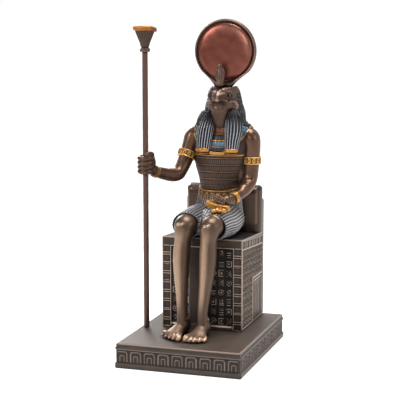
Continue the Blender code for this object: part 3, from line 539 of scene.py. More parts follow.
def make_plinth():
    """Moulded base, as rings of (inset, z) round its outline, with the frieze raised on them."""
    profile = [(0.9, 0.0), (0.3, 0.25), (0.0, 0.9), (0.0, 3.7), (0.25, 4.3), (0.75, 4.6), (1.0, 4.75)]
    profile += [(1.0, z) for z in np.arange(5.0, 14.75, 0.32)]
    profile += [(0.95, 14.9), (0.6, 15.05), (0.35, 15.4), (0.25, 15.9), (0.25, 16.4), (0.38, 16.85),
                (0.8, 17.15), (1.0, 17.3), (1.09, 17.5), (1.09, 17.9), (1.05, 18.2), (0.95, 18.4),
                (0.9, 18.9), (0.95, 19.3), (1.45, 19.65), (1.7, 19.88), (2.0, 19.98), (2.4, 20.0),
                (3.4, 20.0)]
    outline, sides, along = rounded_outline(*PLINTH_SIZE, PLINTH_CORNER, 0.58)
    flat = PLINTH_SIZE / 2 - PLINTH_CORNER
    outward = unit(outline - np.clip(outline, -flat, flat))
    core = outline - outward * PLINTH_CORNER
    fade = np.clip((np.where(sides % 2 == 0, *PLINTH_SIZE) / 2 - 2.2 - np.abs(along)) / 0.4, 0, 1)
    rows, wear, sunk = [], [], []
    for inset, z in profile:
        in_frieze = FRIEZE_LEVELS[0] < z < FRIEZE_LEVELS[1]
        lift = np.zeros(len(outline))
        if in_frieze:
            ripple = 0.05 * np.sin(along * 5.1 + z * 3.3)
            lift = fade * (0.55 * arch_relief(along, z) - 0.2 + ripple)
        place = outline + outward * (lift - inset)[:, None]
        if inset > 1.1:
            limit = PLINTH_SIZE / 2 - inset
            place = np.clip(core, -limit, limit) + outward * 0.02
        rows.append(np.column_stack([place, np.full(len(place), z)]))
        crest = 0.8 * (14.95 < z < 15.5) + 0.9 * (19.2 < z < 19.95)
        # The whole top face is a little lighter.
        crest += 0.12 * (3.4 < z < 4.2) + 0.14 * (z >= 19.95)
        wear.append(np.clip(step_between(0.12, 0.36, lift) * 0.8, crest, 1))
        sunk.append(0.85 * step_between(0.08, -0.1, lift) * in_frieze)
    item = piece("plinth_carved", skin_rows(np.array(rows)), PLINTH_BRONZE, "plinth",
                 drawn=False)
    mark_wear(item, 5, 30.0, np.ravel(wear), 0.12)
    store(item, "hollow", sunk)


# Throne

THRONE_HALF = 34.0
THRONE_FRONT = -4.0
THRONE_FOOT = 20.3
THRONE_TOP = 95.0
SEAT_DEPTH = 52.0
SEAT_FALL = 2.8
SLAB_FRONT = 58.5
SLAB_BACK = 63.0
SLAB_TOP = 120.0
NO_LIMIT = 99


def spaced(low, high, spacing, dense_ends=False):
    """Coordinates from low to high, evenly spaced or dense only near the ends."""
    if not dense_ends:
        return np.linspace(low, high, int(round((high - low) / spacing)) + 1)
    edge = np.array([0.0, 0.15, 0.35, 0.6, 0.9, 1.3, 2.0])
    middle = np.linspace(3.2, high - low - 3.2, max(3, int((high - low) / 4)))
    return low + np.concatenate([edge, middle, (high - low) - edge[::-1]])


def box_faces(low, high, fine, spacing):
    """Six faces of a box, each as its (axis, sign) and a grid of points; fine names the dense ones."""
    faces = []
    for axis in range(3):
        u_axis, v_axis = [a for a in range(3) if a != axis]
        for sign in (-1, 1):
            coarse = (axis, sign) not in fine
            us = spaced(low[u_axis], high[u_axis], spacing, coarse)
            vs = spaced(low[v_axis], high[v_axis], spacing, coarse)
            grid = np.zeros((len(vs), len(us), 3))
            grid[..., u_axis] = us[None, :]
            grid[..., v_axis] = vs[:, None]
            grid[..., axis] = high[axis] if sign > 0 else low[axis]
            faces.append(((axis, sign), grid))
    return faces


def rounded(points, low, high, radius):
    """Round a box's edges, keeping its faces in place."""
    core = np.clip(points, np.array(low) + radius, np.array(high) - radius)
    return core + unit(points - core) * radius


def stroke_cells(x, z, cell_x, cell_z):
    """Rows of small rounded strokes: rings, nested squares, stacked bars and peaks."""
    column = np.floor(x / cell_x)
    row = np.floor(z / cell_z)
    px = x - (column + 0.5) * cell_x
    pz = z - (row + 0.5) * cell_z
    off = np.abs(px)
    from_centre = np.hypot(px, pz)
    kind = (column * 3 + row * 2 + np.floor(column * 0.5)) % 5
    ring = band(np.hypot(px, pz - 1.0), 0.95, 1.55, 0.2)
    pair = np.maximum(band(pz, -2.7, -2.1, 0.2), band(pz, -1.5, -0.9, 0.2)) * band(off, -1, 1.9, 0.2)
    square = np.maximum(off, np.abs(pz) * 0.85)
    nested = np.maximum(band(square, 1.65, 2.25, 0.2), 1 - step_between(0.5, 0.9, square))
    rings = np.maximum(band(from_centre, 1.7, 2.35, 0.2), 1 - step_between(0.55, 0.95, from_centre))
    bars = band((pz + 3.0) % 1.7, 0.2, 0.85, 0.2) * band(off, -1, 2.0, 0.2) * band(pz, -2.9, 2.7, 0.2)
    slope = (pz + off * 0.9 + 1.2) % 2.0
    peaks = band(slope, 0.2, 0.9, 0.2) * band(off, -1, 2.1, 0.2) * band(pz, -2.7, 2.6, 0.25)
    return np.select([kind == 0, kind == 1, kind == 2, kind == 3],
                     [np.maximum(ring, pair), nested, rings, bars], peaks)


def throne_front(grid):
    """Lift of the carving on the throne's front: a sunk panel of strokes between pillars with rungs."""
    x, z = grid[..., 0], grid[..., 2]
    side = THRONE_HALF - np.abs(x)
    up = THRONE_TOP - z
    over_foot = z - THRONE_FOOT - 3.2
    panel = band(side, 8.0, NO_LIMIT, 0.25) * band(over_foot, 0.0, 63.5, 0.25)
    behind_legs = band(x, -12.0, 0.5, 1.6)
    strokes = stroke_cells(x + 26.0, over_foot, 6.5, 7.9)
    strokes = strokes * band(side, 8.6, NO_LIMIT) * band(over_foot, 0.4, 62.9)
    lift = panel * (0.85 * behind_legs - 1.15) + 0.75 * panel * (1 - behind_legs) * strokes
    edge = np.maximum(band(side, 7.3, 8.0, 0.15) * (up > 7.2), band(up, 7.3, 8.0, 0.15) * (side > 7.2))
    pillar = band(side, 1.2, 7.0, 0.2) * (up > 7.5)
    rung = (up - 13.0) % 7.7
    rungs = np.maximum(band(rung, 0.0, 0.6, 0.18), band(rung, 1.7, 2.3, 0.18))
    grain = 0.5 + 0.5 * np.sin(x * 4.4 + np.sin(z * 0.9))
    tooth = 0.5 + 0.5 * np.sin(x * 5.2)
    lift += 0.35 * edge + pillar * (0.42 * rungs - 0.3 - 0.10 * grain * (1 - rungs))
    lift -= 0.14 * tooth * band(up, 1.6, 6.8, 0.3) * (side > 1.0)
    return lift


def throne_side(grid):
    """Lift of the carving on the throne's sides: cells along the top, strokes and a nested doorway."""
    y, z = grid[..., 1], grid[..., 2]
    along = y - THRONE_FRONT
    up = THRONE_TOP - 0.3 - SEAT_FALL * along / SEAT_DEPTH - z
    over_foot = z > THRONE_FOOT + 1.8
    cell = along % 10.4
    cells = band(up, 1.2, 7.0, 0.2) * band(cell, 1.3, 9.4, 0.25) * (along < 62.0)
    lift = cells * (0.5 * band(cell, 4.4, 6.2, 0.25) - 0.7)
    door_start, door_top = 32.6, 57.8
    inner_y = along - door_start
    inner_up = door_top - z
    width = 61.1 - door_start
    strokes_top, row_height, stroke_pitch = 8.6, 5.2, 5.0
    field = band(up, strokes_top, NO_LIMIT, 0.2) * band(along, 1.4, 61.2, 0.2) * over_foot
    field = field * ~((inner_y > -1.0) & (inner_up > -1.0))
    row = (up - strokes_top) % row_height
    number = np.floor((up - strokes_top) / row_height)
    lean = along + 1.6 * row + 0.8 * np.cos((row - 2.6) * 0.7)
    wave = 0.5 + 0.5 * np.sin(lean * 2 * np.pi / stroke_pitch + number * 2.2)
    stroke = step_between(0.70, 0.94, wave) * band(row, 0.5, 4.8, 0.25)
    lift += field * (0.8 * stroke - 0.85)
    near = np.minimum(np.minimum(inner_y, width - inner_y), inner_up)
    rings = np.maximum(np.maximum(band(near, 0.0, 0.8), band(near, 2.6, 3.3)), band(near, 5.0, 5.7))
    reeds = band(near, 6.6, NO_LIMIT) * (0.5 + 0.5 * np.sin(inner_y * 1.5))
    door = (inner_y > 0) & (inner_y < width) & (inner_up > 0) & over_foot
    return lift + door * (0.62 * rings + 0.4 * reeds - 0.6)


def throne_back(grid):
    """Lift of the carving on the back slab: a framed panel with a row of upright reeds at its foot."""
    x, z = grid[..., 0], grid[..., 2]
    side = THRONE_HALF - np.abs(x)
    up = SLAB_TOP - z
    frame_line = np.maximum(band(side, 4.2, 5.0) * band(z, 24.5, 116.0), band(up, 4.0, 4.8) * (side > 4.2))
    foot_line = band(z, 24.0, 24.8) * (side > 4.2)
    reeds = band(z, 25.5, 40.0) * band(side, 6.0, NO_LIMIT) * (0.5 + 0.5 * np.cos(x * np.pi / 2))
    return 0.35 * np.maximum(frame_line, foot_line) - 0.45 * reeds


def carved_box(low, high, radius, spacing, carvings, shear=None):
    """A rounded box with relief on some faces: its form, and each vertex's wear and depth."""
    forms, worn, sunk = [], [], []
    for (axis, sign), grid in box_faces(low, high, carvings, spacing):
        points = rounded(grid, low, high, radius)
        near_edge = np.sort(np.minimum(grid - np.array(low), np.array(high) - grid), axis=-1)[..., 1]
        wear = 0.7 * step_between(1.3, 0.2, near_edge)
        depth = np.zeros_like(wear)
        if (axis, sign) in carvings:
            lift = carvings[(axis, sign)](grid)
            points[..., axis] += sign * lift
            height = lift - averaged_grid(lift, 4)
            strength = 0.6 if axis == 0 else 1.0
            wear = np.maximum(wear, strength * step_between(0.02, 0.18, height)
                              * step_between(-0.85, -0.25, lift))
            depth = np.maximum(step_between(0.02, 0.16, -height), step_between(-0.35, -0.75, lift))
        if shear is not None:
            points = shear(points)
            # The seat block's top and bottom faces are darkened all over: painted shade where the figure
            # sits.
            depth = np.maximum(depth, 0.55 * (axis == 2))
        forms.append(skin_rows(points, closed=False))
        worn.append(wear.ravel())
        sunk.append(depth.ravel())
    return merged(forms), np.concatenate(worn), np.concatenate(sunk)


def averaged_grid(values, times):
    """Blur a grid of values."""
    for _ in range(times):
        wide = np.pad(values, 1, mode="edge")
        values = (wide[:-2, 1:-1] + wide[2:, 1:-1] + wide[1:-1, :-2] + wide[1:-1, 2:] + values * 2) / 6
    return values


def seat_shear(points):
    """Let the seat's top fall towards the back."""
    share = np.clip((points[..., 2] - THRONE_FOOT) / (THRONE_TOP - THRONE_FOOT), 0, 1)
    fall = SEAT_FALL * np.clip((points[..., 1] - THRONE_FRONT) / SEAT_DEPTH, 0, 1)
    points[..., 2] = points[..., 2] - share ** 6 * fall
    return points


def make_throne():
    """Seat block, back slab and backrest."""
    block = ("throne_block", (-THRONE_HALF, THRONE_FRONT, THRONE_FOOT),
             (THRONE_HALF, SLAB_FRONT + 0.1, THRONE_TOP), 0.7, 0.62,
             {(1, -1): throne_front, (0, -1): throne_side, (0, 1): throne_side}, seat_shear)
    slab = ("throne_slab", (-THRONE_HALF, SLAB_FRONT, THRONE_FOOT), (THRONE_HALF, SLAB_BACK, SLAB_TOP),
            1.9, 0.95, {(1, 1): throne_back})
    for name, *shape in (block, slab):
        form, wear, depth = carved_box(*shape)
        item = piece(name, form, THRONE_BRONZE, "throne", drawn=False)
        store(item, "wear", wear)
        store(item, "hollow", depth)
    make_backrest()


def make_backrest():
    """Backrest as rings of one outline, drawn in towards its front."""
    front, depth, low, corner, taper = 48.0, 11.0, 91.5, 3.2, 4.2
    angles = np.linspace(0.1, math.pi / 2, 9)
    rows = []
    for share, shrink in ((0.0, 1.0), (0.04, 0.82), (0.1, 0.62), (0.2, 0.42), (0.34, 0.26), (0.5, 0.15),
                          (0.7, 0.04), (0.85, 0.0), (0.94, 0.03), (1.0, 0.1)):
        half = 32.7 - shrink * taper
        top = 131.4 - shrink * taper
        side = [(half, low)]
        side += [(half, z) for z in np.linspace(low + 1, top - corner, 30)]
        side += [(half - corner + corner * math.cos(a), top - corner + corner * math.sin(a)) for a in angles]
        upper = [(x, top) for x in np.linspace(half - corner - 1, -(half - corner - 1), 40)]
        ring = side + upper + [(-x, z) for x, z in side[:0:-1]]
        rows.append([(-half + 1.0, front + share * depth, low)]
                    + [(x + 1.0, front + share * depth, z) for x, z in ring])
    rim = np.array(rows)
    item = piece("throne_backrest", skin_rows(rim), BACK_BRONZE, "throne", drawn=False)
    share = (rim[..., 1] - front) / depth
    store(item, "wear", 0.5 * band(share, 0.02, 0.16, 0.05) * (rim[..., 2] > 100))


# Sun disk and cobra

DISK_CENTRE = np.array([6.3, 40.0, 243.34])
DISK_RADIUS = 26.1
DISK_FOOT = -29.3
DOME_RADIUS = 23.3
NECK_HALF = 7.1
NECK_SHIFT = -1.6


def disk_outline(count):
    """Points (x, z) round the disk: a circle drawn in to a pinched neck with a flat foot."""
    radius, half_neck, shift, drop = DISK_RADIUS, NECK_HALF, NECK_SHIFT, 31.7
    lean = math.atan2(half_neck, drop)
    touch = math.acos(min(1.0, radius / math.hypot(half_neck, drop))) + lean
    points = []
    for i in range(count + 1):
        angle = -math.pi / 2 + touch + i * (2 * math.pi - 2 * touch) / count
        points.append((radius * math.cos(angle), radius * math.sin(angle)))
    sides = []
    for (start_x, start_z), side in ((points[-1], -1), (points[0], 1)):
        foot_x = shift + side * half_neck
        run = []
        for i in range(1, 13):
            share = i / 12
            pinch = -side * 0.9 * math.sin(math.pi * share)
            run.append((start_x + (foot_x - start_x) * share + pinch, start_z + (DISK_FOOT - start_z)
                        * share))
        sides.append(run)
    left, right = sides
    bottom = [(shift - half_neck + 2 * half_neck * i / 10, DISK_FOOT) for i in range(1, 10)]
    return np.array(points + left + bottom + right[::-1])


def make_sun_disk():
    """Rim of the disk, its two domes and the cobra."""
    outline = disk_outline(150)
    inner = unit(outline) * DOME_RADIUS
    steps = [(0.0, 0.3), (0.02, 1.3), (0.10, 2.1), (0.26, 2.6), (0.45, 2.5), (0.6, 2.1), (0.72, 1.6),
             (0.86, 1.1), (1.0, 1.0)]
    rows = []
    for share, depth in steps:
        place = outline + (inner - outline) * share
        rows.append(np.column_stack([place[:, 0], np.full(len(place), -depth), place[:, 1]]))
    face = np.array(rows)
    back = face[::-1] * np.array([1, -1, 1])
    rim = np.concatenate([back, face]) + DISK_CENTRE
    item = piece("disk_rim", skin_rows(rim), RIM_BRONZE, "sun_disk", drawn=False)
    share = np.array([s for s, _ in steps])
    crest = 0.75 * band(share, 0.2, 0.48, 0.12) + 0.35 * band(share, 0.0, 0.05, 0.05)
    gutter = 0.4 * step_between(0.74, 0.95, share)
    for name, value in (("wear", crest), ("hollow", gutter)):
        store(item, name, np.repeat(np.concatenate([value[::-1], value]), len(outline)))
    make_dome("disk_dome_front", -1)
    make_dome("disk_dome_back", 1)
    make_cobra()


def make_dome(name, sign):
    """Domed face of the disk, with a painted highlight crescent towards its upper left-hand side."""
    turn = 2 * np.pi * np.arange(120) / 120
    rows = []
    for share, rise in ((1.0, 0.7), (0.995, 1.3), (0.98, 2.0), (0.95, 2.7), (0.9, 3.25), (0.82, 3.75),
                        (0.7, 4.15), (0.55, 4.4), (0.38, 4.53), (0.2, 4.58), (0.06, 4.6)):
        reach = DOME_RADIUS * share
        rows.append(np.column_stack([reach * np.cos(turn), np.full(len(turn), sign * rise), reach
                                     * np.sin(turn)]))
    item = piece(name, skin_rows(np.array(rows) + DISK_CENTRE), COPPER, "sun_disk",
                 drawn=False)
    place = (read(item.data) / MM - DISK_CENTRE)[:, [0, 2]]
    radius = np.linalg.norm(place, axis=1)
    highlight_side = place @ np.array([0.7, 0.71]) / np.maximum(radius, 0.1)
    # Painted highlight: a lighter crescent on the side towards the lights, stored with the wear.
    store(item, "wear", 0.45 * step_between(14.5, 20.5, radius) * step_between(0.35, 0.95, highlight_side))
    store(item, "hollow", step_between(22.5, DOME_RADIUS, radius) * 0.3)


def make_cobra():
    """Rearing cobra before the disk's neck, its belly plated and its hood ribbed."""
    x, y, low = DISK_CENTRE + np.array([NECK_SHIFT, -10.5, -28.5])
    forms = [tube([(x, y, low + 1.6, 3.0, 1.7), (x, y + 5.2, low + 1.9, 3.1, 1.9),
                   (x, y + 10.5, low + 2.2, 3.2, 2.1)]), tube([(x, y, low + 1.7, 2.7, 2.2),
            (x, y, low + 4.6, 3.1, 2.1), (x, y, low + 8.6, 3.8, 1.8), (x, y, low + 12.2, 3.9, 1.5),
            (x, y, low + 14.6, 2.9, 1.5)]), tube([(x, y + 0.3, low + 13.6, 2.0, 1.5),
                                                  (x, y - 0.4, low + 16.0, 1.8, 1.7),
                                                  (x, y - 1.6, low + 17.2, 1.8, 1.5),
                                                  (x, y - 3.2, low + 17.2, 1.2, 1.0)])]
    mesh = fused(forms, 0.27, 2)
    points = read(mesh)
    normals = read(mesh, "normal")
    px = points[:, 0] - x
    pz = points[:, 2] - low
    front = step_between(-0.2, -0.6, normals[:, 1])
    spine = band(np.abs(px), 0.0, 0.95, 0.15)
    plates = spine * step_between(0.3, 0.7, 0.5 + 0.5 * np.sin(pz * 2 * np.pi / 1.5)) * band(pz, 2.0, 15.0,
            0.4)
    ribs = band(np.abs(px), 1.15, 3.6, 0.15) * (0.5 + 0.5 * np.sin(np.abs(px) * 5.4)) * band(pz, 3.0, 14.0,
            0.6)
    lift = front * (0.22 * plates + 0.2 * ribs - 0.12)
    for side in (-1, 1):
        eye = np.linalg.norm(points - np.array([x + side * 1.2, y - 1.2, low + 17.6]), axis=1)
        lift += 0.35 * np.exp(-(eye / 0.5) ** 2)
    lifted(mesh, lift)
    item = dressed("cobra", mesh, RIM_BRONZE, "sun_disk", drawn=False)
    mark_wear(item, 6, 0.16)


# Staff and finial

def turned(profile, sides=64):
    """Rings about the staff's axis from (radius, z) pairs."""
    angle = 2 * np.pi * np.arange(sides) / sides
    return np.array([np.stack([GRIP[0] + r * np.cos(angle), GRIP[1] + r * np.sin(angle),
                               np.full(sides, z)], axis=-1) for r, z in profile])


def make_staff():
    """Plain rod, faintly uneven."""
    foot, top, radius = 20.35, 243.15, 2.25
    profile = [(2.0, foot), (radius, foot + 0.25)]
    profile += [(radius + 0.035 * math.sin(z * 0.31) + 0.02 * math.sin(z * 0.83), z) for z
                in np.arange(21.0, 242.5, 1.6)]
    rod_rings = turned(profile + [(radius, top)], 48)
    item = piece("staff_turned", skin_rows(rod_rings), STAFF_BRONZE, "staff_rod", drawn=False)
    store(item, "wear", 0.0)


def make_finial():
    """Papyrus head: a collar ring, a cup of petals and sepals, and a cap that droops at one end."""
    low = 243.2
    collar = [(2.2, -0.02), (3.3, 0), (3.8, 0.25), (4.05, 0.8), (4.1, 1.5), (4.1, 2.2), (3.9, 2.8),
              (3.3, 3.3), (2.9, 3.6)]
    rings = turned([(r, low + z) for r, z in collar])
    item = piece("papyrus_collar", skin_rows(rings), RIM_BRONZE, "papyrus_finial",
                 drawn=False)
    mark_wear(item, 2, 0.3)
    sides, petals, flutes = 240, 18, 54
    base, height = low + 3.5, 14.3
    angle = 2 * np.pi * np.arange(sides) / sides
    rows = []
    for share in np.linspace(0, 1, 44):
        radius = np.interp(share, (0, 0.08, 0.25, 0.6, 1.0), (2.95, 3.35, 4.1, 5.95, 8.2))
        sepal = step_between(0.0, 0.12, 0.52 - share - 0.34 * np.abs(np.sin(petals / 6 * angle)))
        reach = 0.16 * np.cos(petals * angle) + 0.28 * sepal
        reach += 0.12 * np.cos(flutes * angle) * step_between(0.3, 0.6, share)
        r = radius + reach * min(1.0, 0.4 + share) - 0.12
        rows.append(np.column_stack([GRIP[0] + r * np.cos(angle), GRIP[1] + r * np.sin(angle),
                                     np.full(sides, base + height * share)]))
    cup = skin_rows(np.array(rows))
    item = piece("papyrus_cup", cup, FINIAL_BRONZE, "papyrus_finial", drawn=False)
    mark_wear(item, 4, 0.5)
    top = base + height
    cap = [(7.7, -1.0), (8.6, -0.95), (9.2, -0.6), (9.45, 0.1), (9.5, 1.3), (9.42, 1.9), (9.1, 2.4),
           (8.5, 2.66), (7.5, 2.72), (5.0, 2.6), (2.0, 2.5)]
    rubbed = [0, 0, 0, 0.1, 0.3, 0.5, 0.3, 0.1, 0, 0, 0]
    rings = turned([(r, top + z) for r, z in cap], 96)
    across = (rings[..., 0] - GRIP[0]) * 0.951 + (rings[..., 1] - GRIP[1]) * 0.308
    rings[..., 2] -= 1.3 * step_between(4.0, 9.6, across)
    item = piece("papyrus_cap", skin_rows(rings), CAP_GOLD, "papyrus_finial", drawn=False)
    # The cap is darker and redder towards its drooping end.
    store(item, "hollow", 1.1 * step_between(3.5, 6.5, across))
    store(item, "wear", np.repeat(rubbed, 96))


# Body, hands and legs

# Stations (x, y, z, half width, half depth) of the trunk and the arms
TORSO = [(2.4, 33, 91, 12.5, 11), (2.4, 33.5, 97, 17.2, 14), (2.4, 34, 103.4, 20.4, 15),
         (2.4, 34.5, 111, 20, 14.5), (2.8, 35.5, 121, 18.4, 12.6), (3.0, 35.8, 131, 16.2, 11.2),
         (3.0, 35.8, 139, 17.0, 11.2), (3.2, 35.6, 149, 20.0, 12.2), (3.6, 35.2, 159, 22.4, 13.0),
         (4.0, 35.2, 168, 24.4, 12.8), (4.4, 36, 175.5, 25.5, 11.4), (4.8, 37, 180.5, 21, 9.4),
         (5.2, 37.2, 185, 13, 8.2), (5.6, 36.5, 190, 9, 8), (5.8, 35, 198, 8.5, 8.5)]
RIGHT_ARM = [(-14, 36, 176, 7.0, 7.5), (-18.8, 35, 173.4, 8.0, 8.6), (-21.2, 33.5, 167, 7.2, 8.2),
             (-23.4, 31, 159.5, 6.3, 7.0), (-25.2, 27.5, 152.5, 6.0, 6.6), (-26.8, 23.5, 147, 5.8, 6.3),
             (-28, 19.0, 143.6, 5.5, 5.8), (-31.3, 12.5, 143.0, 5.2, 5.4), (-36.0, 4, 145.2, 4.6, 5.0),
             (-39.7, -3.4, 147.6, 3.8, 4.4), (-42.5, -7, 150.4, 4.4, 5.2)]
LEFT_ARM = [(24, 37, 176, 7.0, 7.5), (28.6, 36.5, 173, 8.0, 8.6), (30.2, 36.4, 166, 7.0, 8.0),
            (30.2, 36.4, 156, 6.4, 7.0), (29.8, 36.2, 147, 6.1, 6.6), (29.4, 35, 140, 5.9, 6.3),
            (28.6, 31.0, 135.2, 5.6, 5.7), (27.3, 24, 131.8, 5.2, 5.1), (25.3, 17, 128.8, 4.3, 4.4),
            (22.8, 10, 126.8, 3.8, 4.3), (20.4, 5, 125.8, 4.4, 4.6)]


def right_hand():
    """Fist round the staff: the palm with its swells, four fingers and the thumb."""
    gx, gy, gz = GRIP
    forms = [ball((gx + 0.9, gy + 4.2, gz + 0.4), (6.0, 6.4, 8.0), tilt=-14),
             ball((gx + 3.0, gy + 3.2, gz + 4.4), (3.6, 4.2, 3.8)),
             ball((gx, gy - 0.3, gz + 0.1), (5.6, 5.2, 7.2))]
    finger = {"across": (0, 0, 1), "sides": 16}
    for i in range(4):
        points = []
        for degrees in (150, 190, 230, 270, 310, 350, 20):
            spread = math.radians(degrees)
            reach = 4.2 + 0.35 * (degrees in (190, 270))
            points.append((gx + reach * math.cos(spread) * 1.1, gy + reach * math.sin(spread),
                           gz + 5.4 - 3.6 * i + 0.6 * math.sin(spread)))
        forms.append(rod(points, 1.9, steps=4, **finger))
    thumb = [(gx + 2.5, gy + 6, gz + 5), (gx + 4.4, gy + 2, gz + 8), (gx + 2.6, gy - 3.2, gz + 8.6)]
    forms.append(rod(thumb, 2.2, steps=5, **finger))
    return forms


def left_hand():
    """Fist on the lap, closed round the ankh's loop."""
    forms = [ball((18.4, 2.4, 126.0), (5.2, 5.2, 4.2), turn=25)]
    for i in range(4):
        x, y, z = 12.6 + 2.1 * i, -0.6 - 0.8 * i, 129.2 - 0.8 * i
        finger = [(x + 1.6, y + 2.8, z - 0.2), (x, y, z), (x - 1.2, y - 2.4, z - 2.2),
                  (x - 0.8, y - 2.6, z - 4.4), (x + 0.6, y - 0.8, z - 5.6)]
        forms.append(rod(finger, 1.55, sides=16, steps=4))
        forms.append(ball((x - 0.1, y - 0.2, z + 0.1), (1.7, 1.7, 1.6), count=16))
    forms.append(rod([(15.6, 3.4, 123.4), (12.6, -0.6, 123.6), (12.2, -3.6, 124.2)], 1.8, sides=16, steps=4))
    return forms


def make_body():
    """Trunk and arms, with creases at the elbows."""
    forms = [tube(TORSO, round_ends=False, sides=64), ball((20.4, 37, 146), (6.0, 6.0, 17.0)),
             tube(RIGHT_ARM[:-1], sides=32), tube(LEFT_ARM[:-1], sides=32),
             ball((-32.0, 12.5, 144.0), (5.2, 6.8, 4.8)), ball((27.4, 25.0, 132.6), (5.4, 7.2, 4.8),
            turn=-20)]
    mesh = fused(forms, 0.70, 8)
    points = read(mesh)
    normals = read(mesh, "normal")
    creases = ([(-26.0, 22.0, 148.5), (-29.0, 15.2, 148.0)], [(-27.6, 27.6, 151.0), (-29.4, 24.0, 145.0)],
               [(31.6, 29.0, 140.5), (25.0, 24.5, 135.6)])
    lifted(mesh, sum(bump_line(points, path, 1.1, -0.28) for path in creases))
    item = dressed("figure_body", mesh, BRONZE)
    # Painted highlight on the arms where they face up and towards the left front, added to their wear.
    lit_side = step_between(0.2, 0.95, normals @ unit(np.array([-0.35, -0.55, 0.75])))
    arms = step_between(19.0, 26.0, np.abs(points[:, 0] - 4.0)) * (points[:, 2] < 182)
    mark_wear(item, 24, 0.85, 0.12 * lit_side * arms, 0.3, start=0.45)
    return item


def make_hands():
    """Both fists with the wrists behind them."""
    # Each fist is darkened all over by painted shade, the right one more.
    for side, forms, arm, painted_shade in (("right", right_hand(), RIGHT_ARM, 0.3),
                                    ("left", left_hand(), LEFT_ARM, 0.1)):
        mesh = fused(forms + [tube(arm[-3:], sides=24)], 0.34, 2)
        item = dressed(f"figure_hand_{side}", mesh, BRONZE)
        mark_wear(item, 16, 0.42, hollow=0.26, start=0.3)
        store(item, "painted_shade", painted_shade)


def foot(heel, ball_of_foot, small_toe, big_toe):
    """Bare foot from heel to five toes: its forms, and each nail as (x, y, z, size)."""
    bx, by, bz = ball_of_foot
    rear, middle = (np.array(heel) * share + np.array(ball_of_foot) * (1 - share) for share in (0.7, 0.35))
    forms = [tube([(*heel, 4.2, 4.8), (rear[0], rear[1], heel[2] + 1.4, 4.6, 5.6),
                   (middle[0], middle[1], bz + 1.6, 6.0, 4.4), (bx, by, bz, 7.4, 3.2)])]
    nails = []
    for i in range(5):
        share = i / 4
        tip_x = small_toe[0] + (big_toe[0] - small_toe[0]) * share
        tip_y = small_toe[1] + (big_toe[1] - small_toe[1]) * share - math.sin(math.pi * share) * 1.6
        r = 1.7 + (0.75 if i == 4 else 0.1 * i)
        toe = [(bx + (tip_x - bx) * 0.72, by + 2.5, 23.6, r, r),
               (tip_x, tip_y + 5.4, 23.4, r * 0.95, r * 0.95), (tip_x, tip_y + 3.2, 22.6, r * 1.02, r),
               (tip_x, tip_y + r, 21.9, r, r * 0.92)]
        forms.append(tube(toe, sides=20))
        nails.append((tip_x, tip_y + r * 0.35, 22.4 + r * 0.55, r * 0.55))
    return forms, nails


